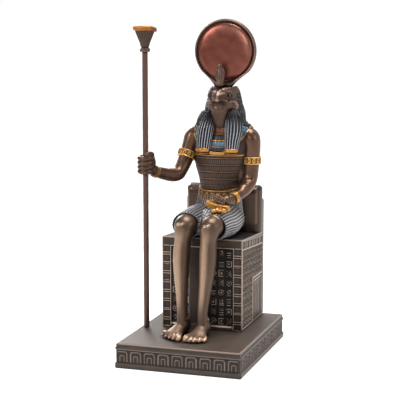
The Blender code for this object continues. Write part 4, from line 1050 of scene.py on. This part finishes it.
def make_legs():
    """Thighs, shins and feet as one skin, with nails and shin bones."""
    right = [(-9.2, 2, 106.4, 9.6, 9.2), (-9.2, -8, 106.6, 9.2, 8.9), (-9.2, -17.4, 107.6, 9.0, 8.6),
             (-9.4, -20.4, 103.5, 8.0, 8.4),
             (-10.4, -20.6, 96, 6.6, 7.4), (-11.2, -21.4, 84, 6.7, 7.9), (-10.8, -23.2, 70, 6.1, 7.0),
             (-10.0, -25.4, 54, 4.5, 5.2), (-9.0, -27.2, 38, 3.9, 4.6), (-8.8, -26.6, 28, 4.4, 5.6)]
    left = [(13.0, 2, 106.0, 9.8, 9.2), (12.6, -8, 106.2, 9.2, 8.9), (12.3, -17.4, 107.2, 9.0, 8.6),
            (11.8, -20.4, 103, 7.8, 8.4),
            (11.0, -20.6, 96, 6.6, 7.4), (10.7, -21.4, 84, 6.7, 7.9), (10.4, -23.2, 70, 6.1, 7.0),
            (9.2, -25.4, 54, 4.8, 5.2), (8.0, -27.2, 38, 4.1, 4.6), (7.8, -26.6, 28, 4.6, 5.6)]
    forms = [tube(right, sides=40), tube(left, sides=40), tube([(12.5, -4, 106.6, 10.2, 9.6),
            (12.3, -12, 107.4, 9.9, 9.4), (12.2, -17.6, 108.2, 9.6, 9.0)], round_ends=False, sides=40)]
    nails = []
    ankle = (1.5, 1.9, 2.4)
    for x, knee in ((-7.904, (-10.4, -25.6, 104.6)), (8.816, (11.2, -25.6, 104.2))):
        forms += [ball(knee, (5.4, 3.0, 6.4), tilt=20), ball((x + 0.2, -24.5, 28.0), (4.9, 7.6, 6.6)),
                  ball((x - 3.2, -26.0, 35.0), ankle), ball((x + 3.2, -26.6, 34.0), ankle)]
    for shape in (((-8.8, -21, 24.4), (-12.4, -40, 23.0), (-21.4, -39.6), (-5.4, -50.2)),
                  ((7.8, -21, 24.4), (7.6, -40, 23.0), (15.2, -47.6), (0.8, -50.6))):
        made, marks = foot(*shape)
        forms += made
        nails += marks
    mesh = fused(forms, 0.72, 6)
    points = read(mesh)
    lift = np.zeros(len(points))
    for x, y, z, size in nails:
        gap = np.linalg.norm((points - np.array([x, y, z])) / np.array([1.0, 1.15, 1.0]), axis=1)
        lift -= 0.22 * band(gap, size, size * 1.35, 0.12)
    for x in (-10.4, 11.2):
        shin_bone = [(x, -29.4, 95.0), (x + 0.3, -29.6, 84.0), (x * 0.98, -30.4, 68), (x * 0.86, -30.8, 48)]
        lift += bump_line(points, shin_bone, 2.4, 0.14)
    lifted(mesh, lift)
    points = read(mesh)
    points[:, 2] = np.maximum(points[:, 2], SOLE_LEVEL)
    write(mesh, points)
    normals = read(mesh, "normal")
    item = dressed("figure_legs", mesh, LEG_BRONZE)
    # Painted highlight on the shins' sides that face the left front, and on the tops of the feet towards the
    # toes, added to their wear.
    lit_side = step_between(0.45, 1.0, normals @ unit(np.array([-0.52, -0.85, 0.08])))
    shin = step_between(34.0, 54.0, points[:, 2]) * step_between(112.0, 90.0, points[:, 2])
    top = step_between(0.3, 0.9, normals[:, 2]) * (points[:, 2] < 34) * step_between(-24.0, -36.0,
            points[:, 1])
    mark_wear(item, 24, 0.9, 0.78 * lit_side * shin + 0.40 * top, 0.34, start=0.5)


# Head

# Stations of the headdress over the crown and shoulders; the face keeps to its upper nine
HOOD = [(4.3, 38.6, 214.5, 7.4, 6.0), (4.3, 38.6, 213.6, 10.8, 9.2), (4.6, 38.7, 211.9, 12.3, 11.0),
        (4.9, 39.0, 210, 13.0, 12.4), (5.45, 39.3, 207, 13.6, 13.6), (5.75, 39, 203, 14.6, 14.0),
        (5.8, 38.6, 199.7, 15.5, 14.2), (6.0, 38.4, 196.3, 16.4, 14.3), (6.1, 38.2, 193, 17.7, 14.4),
        (5.55, 37.8, 189.6, 19.8, 14.3), (5.15, 37.5, 186.3, 21.7, 13.8), (5.1, 37.4, 183.8, 23.2, 13.0),
        (5.2, 37.2, 180.6, 25.2, 12.0), (5.4, 37.4, 178, 25.4, 10.6), (5.5, 37.6, 176.4, 23.6, 9.0)]


def face_mask():
    """The bare face: the hood's own shape, standing out of it only at the front."""
    rings = tube_rows(HOOD[:9], sides=120, steps=8, round_ends=False)
    points, outward = rings[:2]
    front = -outward[..., 1]
    z = points[..., 2]
    reach = 0.48 + 0.30 * step_between(201.0, 197.5, z) - 0.55 * step_between(208.0, 212.0, z)
    shown = step_between(reach - 0.10, reach + 0.06, front) * band(z, 195.5, 220.0, 1.8)
    return raised(rings, 1.55 * shown - 1.1)


# Sides of the face, with how much narrower the far one is
FACE_SIDES = ((-1, 0.88), (1, 1.0))
EYE_LEVEL = 207.9


def on_side(side, narrow, *path):
    """Points on one side of the face, given as (distance from its middle, y, z)."""
    return [(NECK_X + side * across * narrow, y, z) for across, y, z in path]


def head_forms():
    """Overlapping forms of the falcon's head, both sides of it."""
    x = NECK_X
    forms = [ball((x, 34.5, 204.6), (11.5, 12.5, 9.4), count=48), face_mask(),
             tube([(x, 32, 208.6, 9.6, 4.3), (x, 27.5, 208.4, 8.4, 4.2), (x, 24, 207.8, 6.9, 3.9),
                   (x, 21.6, 206.9, 5.4, 3.5), (x, 19.9, 205.7, 3.9, 2.9), (x, 18.9, 204.5, 2.6, 2.0),
                   (x, 18.3, 203.5, 1.3, 1.1)], sides=36), tube([(x + 0.8, 31, 212.3, 1.8, 1.0),
            (x + 0.2, 26, 211.8, 1.4, 1.1), (x, 21.4, 210.0, 1.1, 1.2), (x, 18.9, 208.2, 0.9, 1.1),
            (x, 17.5, 206.2, 0.8, 1.0), (x, 17.1, 204.2, 0.6, 0.6)], sides=20),
             ball((x, 23.6, 200.9), (3.6, 4.6, 2.6), tilt=-10), ball((x, 23.6, 197.2), (6.4, 3.9, 4.4)),
             tube([(x, 27.5, 200, 8.4, 7.3), (x, 27.0, 192, 7.2, 6.6), (x, 27.6, 186, 6.6, 5.8),
                   (x, 29, 182.6, 6.0, 4.6)], sides=40)]
    for side, narrow in FACE_SIDES:
        brow = on_side(side, narrow, (4.6, 23.4, 209.8), (6.8, 24.2, 210.9), (9.2, 25.8, 211.3),
                       (11.2, 28.2, 210.8))
        mouth = on_side(side, narrow, (0.5, 17.9, 203.9), (2.6, 20.3, 204.7), (5.0, 23.2, 204.5),
                        (6.8, 25.2, 202.9), (7.4, 26.2, 199.4))
        leaf = on_side(side, narrow, (9.3, 25.9, 203.5), (12.4, 28.2, 202.8), (13.9, 29.8, 200.0),
                       (13.0, 29.8, 196.8), (10.2, 28.0, 196.2), (8.2, 26.2, 197.4), (8.0, 25.4, 200.4),
                       (9.3, 25.9, 203.5))
        bar = on_side(side, narrow, (8.8, 26.4, 198.6), (13.0, 29.2, 198.8))
        socket, jaw, cheek = on_side(side, narrow, (8.6, 26.8, 207.6), (7.4, 27.2, 200.4),
                                     (10.6, 29.0, 199.8))
        forms += [rod(brow, 0.75, sides=16), ball(socket, (3.4, 2.6, 3.2)), ball(jaw, (3.6, 4.6, 4.2)),
                  rod(mouth, 0.9, sides=14), rod(leaf, 0.72, sides=14, round_ends=False),
                  ball(cheek, (2.7, 2.8, 3.6)), rod(bar, 0.5, sides=12)]
    return forms


def face_relief(points):
    """Lift of the fine lines of the face, and the painted shade round the eyes and along the mouth."""
    lift = np.zeros(len(points))
    dark = np.zeros(len(points))
    lines = (([(10.8, 25.6, 207.6), (12.6, 28.6, 206.8), (13.2, 31.5, 205.4)], 0.5, -0.4),
             ([(0.4, 17.6, 203.0), (2.8, 20.4, 203.6), (5.0, 23.2, 203.2), (6.4, 25.0, 201.4),
               (6.6, 25.6, 198.4)], 0.6, -0.6), ([(2.4, 19.6, 207.0), (2.9, 20.5, 206.2)], 0.5, -0.5),
             ([(4.6, 23.6, 210.2), (4.9, 21.8, 207.8), (5.2, 21.6, 205.4)], 0.45, -0.4),
             ([(8.6, 24.4, 204.6), (8.4, 24.6, 201.6), (7.6, 25.0, 198.2)], 0.7, -0.35))
    for side, narrow in FACE_SIDES:
        eye = np.array([NECK_X + side * 9.0 * narrow, 24.6, EYE_LEVEL])
        gap = np.linalg.norm((points - eye) * np.array([1.0, 0.7, 1.1]), axis=1)
        lift += 0.12 * band(gap, 2.4, 2.9, 0.25) - 0.5 * band(gap, 1.4, 2.1, 0.25)
        # Painted shade in the eye sockets.
        dark = np.maximum(dark, 0.7 * (1 - step_between(1.7, 3.4, gap)))
        for path, width, height in lines:
            lift += bump_line(points, on_side(side, 1.0, *path), width, height)
        mouth = on_side(side, 1.0, (0.6, 18.6, 202.4), (3.4, 21.6, 202.0), (5.4, 24.0, 200.8))
        # Painted shade along the mouth.
        dark = np.maximum(dark, 0.85 * (1 - step_between(0.8, 3.0, near_path(points, mouth))))
    away = np.min([np.linalg.norm(points - np.array([NECK_X + reach, 24.6, EYE_LEVEL]), axis=1)
                   for reach in (-9.0, 9.0)], axis=0)
    plain = step_between(2.8, 4.2, away) * step_between(22.0, 25.5, points[:, 1])
    plain = plain * step_between(4.4, 6.6, np.abs(points[:, 0] - NECK_X))
    barbs = np.sin(points[:, 2] * 3.0 + points[:, 1] * 2.0) * np.sin(points[:, 0] * 2.4 + points[:, 1] * 1.2)
    return lift + 0.16 * plain * barbs, dark


def face_wear_and_highlight(points):
    """Painted highlight along the crest and the beak's ridge, and added wear along the lips and the cheek
    marks.
    """
    x = NECK_X
    upper = [(x, 18.9, 208.6), (x, 21.2, 210.6), (x + 0.6, 25, 212.4), (x + 2.6, 30, 213.6),
             (x + 6.5, 34, 213.9)]
    lower = [(x, 16.6, 203.6), (x, 17.2, 206.0), (x, 18.7, 208.4), (x, 21.0, 210.2), (x + 0.6, 25, 212.0),
             (x + 2.6, 30, 213.4), (x + 5.5, 35, 213.9)]
    # Painted highlight along the crest of the head and down the beak's ridge.
    rub = bump_line(points, upper, 0.8, 0.5) + bump_line(points, lower, 0.75, 0.8)
    for side, narrow in FACE_SIDES:
        lip = on_side(side, narrow, (0.5, 17.4, 204.1), (2.6, 19.8, 204.9), (5.0, 22.7, 204.7),
                      (6.8, 24.7, 203.1), (7.4, 25.8, 199.4))
        mark = on_side(side, narrow, (9.3, 25.4, 203.7), (12.6, 27.6, 203.0), (14.2, 29.4, 200.0),
                       (13.2, 29.4, 196.6), (10.2, 27.6, 196.0), (8.2, 25.8, 197.2), (7.8, 25.0, 200.4),
                       (9.3, 25.4, 203.7))
        rub += bump_line(points, lip, 0.7, 0.6) + bump_line(points, mark, 0.7, 0.5)
    return np.clip(rub, 0, 1)


def make_head():
    """Falcon head and its eyes."""
    mesh = fused(head_forms(), 0.40, 2)
    points = read(mesh)
    lift, dark = face_relief(points)
    lifted(mesh, lift)
    item = dressed("falcon_head", mesh, FACE_BRONZE)
    across = points[:, 0] - NECK_X
    # Painted shade on the beak's right-hand side.
    flank = step_between(0.8, 2.6, across) * step_between(7.6, 5.4, across) * (points[:, 1] < 25.5)
    dark = np.maximum(dark, 0.7 * flank * band(points[:, 2], 203.8, 209.6, 1.0))
    # Painted shade under the beak, darkening the throat and taking wear from it.
    throat = step_between(199.0, 190.0, points[:, 2])
    mark_wear(item, 14, 0.8, face_wear_and_highlight(points) - 0.5 * throat, 0.26, start=0.5)
    store(item, "painted_shade", np.maximum(dark, 0.35 * throat))
    for side, narrow in FACE_SIDES:
        centre, = on_side(side, narrow, (9.0, 25.0, EYE_LEVEL))
        made = piece("eye_left" if side > 0 else "eye_right", ball(centre, (1.45, 1.4, 1.4), count=24), EYE)
        store(made, "wear", 0.0)


# Headdress

def make_headdress():
    """Strands over crown and back, and two lappets."""
    rings = tube_rows(HOOD, sides=270, steps=6, round_ends=False)
    angle, share = rings[2:]
    chevron = np.abs(((share * 20) % 1) - 0.5) * 2
    lock = 0.5 + 0.5 * np.cos(38 * angle + 1.6 * chevron)
    item = piece("headdress_hood", raised(rings, 0.34 * lock - 0.12), HEADDRESS)
    mark_wear(item, 3, 0.3, (0.34 * lock ** 4 * step_between(0.35, 0.9, chevron)).ravel() - 0.12)
    x = NECK_X - 0.3
    tail = [(x, 40, 186, 20, 9), (x, 40.5, 172, 19, 7.4), (x, 40.5, 160, 17.5, 7.2),
            (x, 40.5, 152, 16.5, 7.0)]
    rings = tube_rows(tail, sides=240, steps=12, round_ends=False)
    lock = 0.5 + 0.5 * np.cos(34 * rings[2])
    item = piece("headdress_tail", raised(rings, 0.4 * lock - 0.15), HEADDRESS)
    mark_wear(item, 3, 0.3, (0.30 * lock ** 3).ravel() - 0.12)
    make_lappet("right", (1, -0.25, 0), -7.7, 6.5,
                [(0.2, 29.4, 195.6, 2.4, 3.6), (-1.6, 27.8, 191.8, 4.2, 4.2), (-3.5, 25.8, 187, 6.0, 4.4),
                 (-5.5, 23.6, 180, 6.9, 4.3), (-6.8, 22.5, 170, 6.5, 4.0), (-7.2, 22.4, 164.4, 6.1, 3.85)])
    make_lappet("left", (1, 0.25, 0), 16.7, 5.8,
                [(13.9, 30, 196.4, 2.6, 3.8), (15.9, 28, 192.6, 4.8, 4.4), (17.6, 25.8, 188, 6.7, 4.4),
                 (18.2, 23.8, 180, 7.2, 4.3), (17.3, 22.5, 171, 6.0, 4.0), (16.7, 22.4, 164.4, 5.2, 3.85)])


def make_lappet(name, across, middle, half, stations):
    """Ridged lappet on the chest with a gold end and a duller fringe, at a middle x and half width."""
    rings = tube_rows(stations, across=across, sides=204, steps=10, round_ends=False)
    ridges = 0.5 + 0.5 * np.cos(17 * rings[2])
    item = piece(f"lappet_{name}", raised(rings, 0.62 * ridges - 0.3), HEADDRESS)
    rub = step_between(0.70, 0.96, ridges) * step_between(0.36, 0.70, rings[3])
    mark_wear(item, 3, 3.0, rub.ravel(), 0.25)
    for label, paint, low, high, reach in (("end", GOLD, 162.2, 165.4, 0.0),
                                           ("fringe", DULL_GOLD, 160.2, 162.0, -0.4)):
        curve = 0.25 * (high - low)
        wide, deep = half + reach, 4.7 + reach
        end = [(middle, 22.3, high, wide - 0.5, deep - 0.6), (middle, 22.3, high - curve, wide, deep),
               (middle, 22.3, low + curve, wide, deep), (middle, 22.3, low, wide - 0.5, deep - 0.6)]
        form = tube(end, across=across, sides=96, steps=5, round_ends=False)
        item = piece(f"lappet_{label}_{name}", form, paint, smooth_angle=50)
        mark_wear(item, 3, 0.25)


# Corselet, belt, bands, kilt, ankh and collar

def torso_shell(low, high, offset, rows):
    """Rings round the torso between two levels: points, outward, angle and z."""
    path = smooth_path(TORSO, 24)
    path = path[np.argsort(path[:, 2])]
    levels = np.linspace(low, high, rows)[:, None]
    x, y, wide, deep = (np.interp(levels, path[:, 2], path[:, k]) for k in (0, 1, 3, 4))
    cols = 320
    angle = 2 * np.pi * np.arange(cols) / cols
    c, s = np.cos(angle), np.sin(angle)
    level = np.broadcast_to(levels, (rows, cols))
    points = np.stack([x + (wide + offset) * c, y + (deep + offset) * s, level], axis=-1)
    outward = unit(np.stack([c * deep, s * wide, np.zeros((rows, cols))], axis=-1))
    return points, outward, np.broadcast_to(angle, (rows, cols)), level


def make_corselet():
    """Trunk's dress: rows of small plates with ledges between, a ribbed top and a gold band."""
    rings = torso_shell(131.0, 161.5, 0.5, 84)
    angle, z = rings[2:]
    row = (z - 133.9) / 5.75
    cell = row - np.floor(row)
    shift = np.where(np.floor(row) % 2 == 0, 0.0, 0.5)
    gap = np.abs(((angle * 80 / (2 * np.pi) + shift) % 1) - 0.5) * 2
    tile = step_between(0.12, 0.4, 1 - gap) * band(cell, 0.16, 0.84, 0.07)
    ledge = band(cell, -0.01, 0.07, 0.03) + band(cell, 0.95, 1.01, 0.03)
    item = piece("corselet", raised(rings, 0.34 * tile + 0.46 * ledge - 0.1), CORSELET_BRONZE)
    mark_wear(item, 4, 3.0, (0.26 * tile + 0.85 * ledge).ravel())
    store(item, "hollow", 0.9 * np.clip(1 - tile - ledge, 0, 1))
    rings = torso_shell(160.5, 177.5, 0.35, 24)
    ribs = 0.5 + 0.5 * np.cos(rings[2] * 60)
    mark_wear(piece("corselet_top", raised(rings, 0.12 * ribs), CORSELET_BRONZE), 4, 0.2)
    low, high = 158.7, 160.1
    rings = torso_shell(low, high, 0.5, 10)
    swell = np.sqrt(np.clip(np.sin(np.pi * (rings[3] - low) / (high - low)), 0, 1))
    mark_wear(piece("chest_band", raised(rings, 0.6 * swell), GOLD), 3, 0.3)


def make_belt():
    """Belt that dips at the front, with raised rims and a row of rings round dots."""
    rows, cols, motifs = 40, 320, 20
    levels = (118, 122, 127, 133)
    angle = 2 * np.pi * np.arange(cols) / cols
    dip = 0.6 - 2.6 * step_between(0.2, 1.0, -np.sin(angle))
    rings, ribs = [], []
    for share in np.linspace(0, 1, rows):
        z = 123.2 + 9.4 * share + dip
        swell = 0.93 + 0.07 * math.sin(math.pi * min(max(share, 0.02), 0.98)) ** 0.25
        wide = swell * np.interp(z, levels, (19.4, 18.9, 17.8, 17.3))
        deep = swell * np.interp(z, levels, (14.2, 13.6, 12.7, 12.2))
        edge = band(share, 0.04, 0.16, 0.03) + band(share, 0.84, 0.96, 0.03)
        from_dot = np.hypot((angle * motifs / (2 * np.pi)) % 1 - 0.5, (share - 0.5) * 1.55)
        motif = np.maximum(band(from_dot, 0.24, 0.38, 0.05), 1 - step_between(0.08, 0.16, from_dot))
        lift = 0.35 * edge + 0.34 * motif * (1 - edge)
        ribs.append(lift)
        rings.append(np.column_stack([2.9 + (wide + lift) * np.cos(angle), 35.7 + (deep + lift)
                                      * np.sin(angle), z]))
    item = piece("belt", skin_rows(np.array(rings)), DULL_GOLD)
    ribs = np.array(ribs)
    mark_wear(item, 3, 3.0, 1.3 * ribs.ravel())
    store(item, "hollow", step_between(0.16, 0.02, ribs) * 0.7)


def arm_band(name, paint, centre, direction, radius, half, motifs):
    """Band round a limb with raised rims and, where it has motifs, a row of rings."""
    axis = unit(np.array(direction, dtype=float))
    side = unit(np.cross(axis, [0.3, 1.0, 0.2]))
    up = np.cross(axis, side)
    cols, rows = 200, 30
    angle = 2 * np.pi * np.arange(cols) / cols
    round_limb = side[None, :] * np.cos(angle)[:, None] + up[None, :] * np.sin(angle)[:, None]
    rings, ribs = [], []
    for share in np.linspace(-1, 1, rows):
        lift = np.full(cols, (0.42 if motifs else 0.2) * band(abs(share), 0.68, 0.98, 0.06))
        if motifs:
            from_middle = np.hypot((angle * motifs / (2 * np.pi)) % 1 - 0.5, share * 0.5)
            lift += 0.32 * band(from_middle, 0.16, 0.30, 0.05) * (abs(share) < 0.66)
        ribs.append(lift)
        edge = math.sqrt(max(0.0, 1 - abs(share) ** 10))
        reach = (radius - 0.9) + 0.75 * edge + lift
        rings.append(np.array(centre) + axis * share * half + round_limb * reach[:, None])
    item = piece(name, skin_rows(np.array(rings)), paint)
    ribs = np.array(ribs)
    mark_wear(item, 3, 3.0, 1.2 * ribs.ravel())
    store(item, "hollow", step_between(0.16, 0.02, ribs) * (0.85 if motifs else 0.0))


def make_bands():
    """Two armlets with rings on them and two plain bracelets."""
    arm_band("armlet_right", GOLD, (-23.9, 30.4, 158.6), (-0.2, -0.36, -0.92), 7.8, 3.1, 12)
    arm_band("armlet_left", GOLD, (30.2, 36.4, 155), (0.0, 0.0, -1.0), 7.6, 3.2, 12)
    arm_band("bracelet_right", DULL_GOLD, (-39.6, -3.2, 147.4), (-0.45, -0.8, 0.42), 4.9, 1.7, 0)
    arm_band("bracelet_left", GOLD, (22.9, 10.2, 126.8), (-0.37, -0.9, -0.22), 5.0, 1.9, 0)


def hollow_end(points, inset, depth):
    """Turn a tube's last ring in and back, so that its end is an open hem."""
    last = points[-1]
    centre = last.mean(axis=0)
    step = unit(centre - points[-2].mean(axis=0))
    inward = centre - last
    inner = [last + step * inset * 0.4 + inward * 0.03, last + inward * 0.10, last - step * depth + inward
             * 0.12]
    return np.concatenate([points, inner])


def pleats(angle, count, crest=0.7):
    """Folds round a form, each rising slowly to its crest and falling fast."""
    fold = (angle * count / (2 * np.pi)) % 1
    return np.where(fold < crest, fold / crest, (1 - fold) / (1 - crest))


def make_kilt():
    """Pleated kilt: a leg of cloth on each side with an open hem, the fall between them, and the hips."""
    for name, stations in (("kilt_right", [(-9.2, 37, 105, 12.4, 10.6), (-9.4, 22, 106.4, 13.0, 12.1),
                                           (-9.6, 6, 106.8, 12.7, 11.7), (-9.6, -8, 107.2, 12.0, 10.8),
                                           (-9.4, -15.2, 106.8, 11.7, 10.5)]),
                           ("kilt_left", [(12.4, 37, 106, 11.4, 10.2), (13.6, 22, 107.0, 13.0, 12.0),
                                          (14.0, 6, 106.4, 13.3, 11.7), (13.2, -8, 106.8, 12.4, 10.8),
                                          (12.6, -14.4, 106.4, 11.7, 10.5)])):
        count = 31
        points, outward, angle, _ = tube_rows(stations, sides=count * 8, steps=11, round_ends=False)
        saw = pleats(angle, count, 0.72)
        points = hollow_end(points + outward * (0.85 * saw - 0.42)[..., None], 0.8, 7.0)
        item = piece(name, skin_rows(points), KILT)
        rub = 0.75 * step_between(0.35, 0.95, saw)
        mark_wear(item, 3, 3.0, np.concatenate([rub, np.zeros((3, rub.shape[1]))]).ravel(), 0.3)
    middle = [(2.6, 35, 103, 14, 12.4), (2.6, 20, 105, 12.4, 12), (2.4, 8, 106.6, 10, 11.2),
              (2.0, -2, 105.6, 7, 8.8), (1.8, -11, 105.4, 5, 7.2)]
    hips = [(2.4, 33.4, 94, 14.6, 12.2), (2.4, 33.6, 98, 18.0, 14.2), (2.4, 34.0, 103.4, 20.6, 15.2),
            (2.4, 34.4, 111, 20.6, 14.9), (2.8, 35.4, 120, 19.0, 13.4), (2.9, 35.6, 125, 18.2, 12.9)]
    for name, rings, count, strength in (("middle", tube_rows(middle, sides=220, steps=12), 26, 0.7),
                                         ("hips", tube_rows(hips, sides=300, steps=7, round_ends=False),
                                          50, 0.6)):
        saw = pleats(rings[2], count)
        item = piece(f"kilt_{name}", raised(rings, 0.6 * saw - 0.3), KILT)
        mark_wear(item, 3, 3.0, strength * step_between(0.4, 0.95, saw).ravel(), 0.3)


def make_ankh():
    """Cross with a loop, held on the lap."""
    forms = [tube([(6.3, -6.4, 123.8, 2.4, 2.9), (10.6, -8, 123, 2.0, 2.2), (14.8, -8.8, 122.2, 2.0, 2.0),
                   (19, -8.8, 121.4, 2.0, 2.2), (22.6, -8, 120.7, 2.3, 2.6)], across=(0, 1, 0), sides=24),
             tube([(16.6, -2, 122.6, 2.6, 2.0), (16.8, -7.5, 121.4, 2.6, 1.9),
                   (16.8, -11.4, 120.2, 3.8, 1.8), (16.8, -12.6, 119.8, 4.4, 1.6)], sides=24),
             ball((12.6, -12.8, 119.0), (2.4, 2.4, 2.0)), ball((20.8, -12.6, 119.6), (2.4, 2.4, 2.0)),
             tube([(6.6, -8.2, 125.4, 0.7, 0.7), (11, -9.8, 124.2, 0.7, 0.7), (15, -10.6, 123.4, 0.7, 0.7),
                   (19.4, -10.6, 122.8, 0.7, 0.7), (23, -9.6, 122.4, 0.7, 0.7)], sides=16)]
    mesh = fused(forms, 0.32, 2)
    points = read(mesh)
    lift = bump_line(points, [(6.0, -9.0, 122.8), (11, -10.4, 122.0), (15, -10.9, 121.4),
                              (19.4, -10.8, 120.8), (23, -10.2, 120.0)], 0.55, -0.45)
    lift += bump_line(points, [(16.7, -16, 120.2), (16.7, -12.0, 121.6)], 1.4, -0.5)
    lifted(mesh, lift)
    item = dressed("ankh", mesh, GOLD)
    mark_wear(item, 12, 0.5, hollow=0.3, start=0.3)


def draped(tree, name, path, widths, height, material):
    """A raised strip laid on the chest: path and half widths are drawn in the front view, as (x, z)."""
    line = smooth_path([(*p, w) for p, w in zip(path, widths)], 14)
    tangent = unit(np.gradient(line[:, :2], axis=0))
    half_spans = np.array([0.2, 0.4, 0.6, 0.8, 0.94, 1.0, 1.06])
    half_rises = np.array([1, 1, 1, 1, 0.85, 0.3, -0.8])
    spans = np.concatenate([-half_spans[::-1], [0], half_spans])
    rises = np.concatenate([half_rises[::-1], [1], half_rises])
    start_y, grid, last = -60.0, [], 23.0
    for (cx, cz, half), (along_x, along_z) in zip(line, tangent):
        row = []
        for span, rise in zip(spans, rises):
            px, pz = cx - along_z * half * span, cz + along_x * half * span
            hit = tree.ray_cast(Vector((px, start_y, pz)), Vector((0, 1, 0)))[0]
            if hit is not None:
                last = hit.y
            row.append((px, last - height * rise, pz))
        grid.append(row)
    grid = np.array(grid)
    grid[[0, -1], :, 1] += height * 1.2
    item = piece(name, skin_rows(grid, closed=False), material)
    mark_wear(item, 2, 0.2)
    return item


def make_collar(tree):
    """Bands of the collar on the chest, and a strap over each shoulder."""
    x = NECK_X - 0.2
    for name, z, half, height, material in (
            ("gold_1", 181.4, 0.4, 0.9, DULL_GOLD), ("red", 178.8, 2.0, 0.55, RED_BROWN),
            ("gold_2", 176.3, 0.4, 0.85, DULL_GOLD), ("dark", 173.9, 1.8, 0.5, DARK_BLUE),
            ("gold_3", 171.5, 0.4, 0.9, GOLD), ("blue", 168.8, 2.0, 0.6, BLUE),
            ("gold_4", 166.2, 0.4, 0.9, GOLD), ("low", 164.2, 1.6, 0.5, DARK_BLUE),
            ("clasp", 161.2, 1.2, 1.9, GOLD)):
        path = [(x - 7.0, z + 0.7), (x - 3, z + 0.1), (x, z), (x + 3, z + 0.1), (x + 7.0, z + 0.7)]
        draped(tree, f"collar_{name}", path, [half] * 5, height, material)
    straps = (("right", [(-12.6, 182.6), (-12.9, 179), (-12.6, 175), (-11.4, 171.4)],
               [(-15.6, 182.4), (-16.0, 179), (-15.7, 174.8), (-14.2, 170.6)]),
              ("left", [(27.0, 182.4), (25.6, 179.4), (23.6, 176), (21.6, 173.6)],
               [(29.9, 182.6), (28.2, 179), (26.0, 175.4), (23.4, 171.8)]))
    for name, path, outer in straps:
        strap = draped(tree, f"strap_{name}", path, [2.9, 2.9, 2.5, 1.8], 0.7, BLUE)
        store(strap, "hollow", 0.0)
        draped(tree, f"strap_edge_{name}", outer, [0.45] * 4, 1.1, GOLD)


# Stage, lights and camera

def make_stage():
    """White floor under a world and lights."""
    n = Nodes("floor_paper")
    colour = n.mix(n.noise(3.0, 2.0), (0.28, 0.28, 0.28), (0.32, 0.32, 0.318))
    n.link(colour, n.shader.inputs["Base Color"])
    n.shader.inputs["Roughness"].default_value = 0.9
    n.shader.inputs["Emission Color"].default_value = (1, 1, 1, 1)
    n.shader.inputs["Emission Strength"].default_value = 1.0
    half, level = 60, -0.0002
    mesh = bpy.data.meshes.new("floor")
    corners = [(-half, -half, level), (half, -half, level), (half, half, level), (-half, half, level)]
    mesh.from_pydata(corners, [], [(0, 1, 2, 3)])
    floor = bpy.data.objects.new("floor", mesh)
    bpy.context.scene.collection.objects.link(floor)
    mesh.materials.append(n.material)
    make_world()
    make_lights()


def make_world():
    """Surroundings that are dark before the figure and bright behind it."""
    world = bpy.data.worlds.new("studio")
    world.use_nodes = True
    tree = world.node_tree
    back = tree.nodes["Background"]
    place = tree.nodes.new("ShaderNodeTexCoord")
    split = tree.nodes.new("ShaderNodeSeparateXYZ")
    ramp = tree.nodes.new("ShaderNodeValToRGB")
    spread = tree.nodes.new("ShaderNodeMapRange")
    spread.inputs["From Min"].default_value = -1.0
    tree.links.new(place.outputs["Generated"], split.inputs[0])
    tree.links.new(split.outputs["Y"], spread.inputs["Value"])
    tree.links.new(spread.outputs["Result"], ramp.inputs["Fac"])
    tree.links.new(ramp.outputs["Color"], back.inputs["Color"])
    stops = ramp.color_ramp.elements
    stops[0].position, stops[0].color = 0.0, (0.06, 0.06, 0.06, 1)
    stops[1].position, stops[1].color = 0.85, (1.0, 1.0, 1.0, 1)
    for position, level in ((0.38, 0.09), (0.6, 0.4)):
        stops.new(position).color = (level, level, level, 1)
    back.inputs["Strength"].default_value = 1.0
    bpy.context.scene.world = world
    bpy.context.scene.view_settings.view_transform = 'Standard'


def make_lights():
    """Area lights as name, place, target, size and power."""
    lights = (("key", (-0.75, -0.85, 0.75), (0, 0, 0.14), 0.35, 9.0),
              ("side", (1.0, -0.1, 0.55), (0, 0, 0.16), 0.5, 2.6),
              ("top", (0.15, 0.1, 1.2), (0, 0, 0.15), 0.6, 18.0),
              ("rim", (-0.6, 0.75, 0.55), (0, 0, 0.15), 0.4, 5.0),
              ("front", (0.2, -1.05, 0.58), (0, 0, 0.24), 0.22, 2.2))
    for name, place, target, size, power in lights:
        light = bpy.data.lights.new(name, 'AREA')
        light.size = size
        light.energy = power
        lamp = bpy.data.objects.new(name, light)
        lamp.location = place
        lamp.rotation_euler = (Vector(target) - Vector(place)).to_track_quat('-Z', 'Y').to_euler()
        bpy.context.scene.collection.objects.link(lamp)


def make_camera():
    """View of the photo, in metres and degrees."""
    place, tilt_down, turn = (0.2908, -0.9079, 0.2656), 8.37, 17.92
    data = bpy.data.cameras.new("camera")
    data.lens = 108.0
    data.sensor_width = 36.0
    camera = bpy.data.objects.new("camera", data)
    camera.location = place
    camera.rotation_euler = (math.radians(90 - tilt_down), 0, math.radians(turn))
    bpy.context.scene.collection.objects.link(camera)
    bpy.context.scene.camera = camera


def tree_of(items):
    """One surface to lay strips on, out of several pieces."""
    points, faces = [], []
    for item in items:
        first = len(points)
        points += [tuple(p) for p in (read(item.data) / MM).tolist()]
        faces += [tuple(first + v for v in p.vertices) for p in item.data.polygons]
    return BVHTree.FromPolygons(points, faces)


def build():
    """Make the stage, then each part, then what lies on the chest."""
    make_camera()
    make_stage()
    make_plinth()
    make_throne()
    make_sun_disk()
    make_staff()
    make_finial()
    body = make_body()
    make_hands()
    make_legs()
    make_head()
    make_headdress()
    make_corselet()
    make_belt()
    make_bands()
    make_kilt()
    make_ankh()
    make_collar(tree_of([body, bpy.data.objects["corselet_top"], bpy.data.objects["headdress_hood"]]))


build()
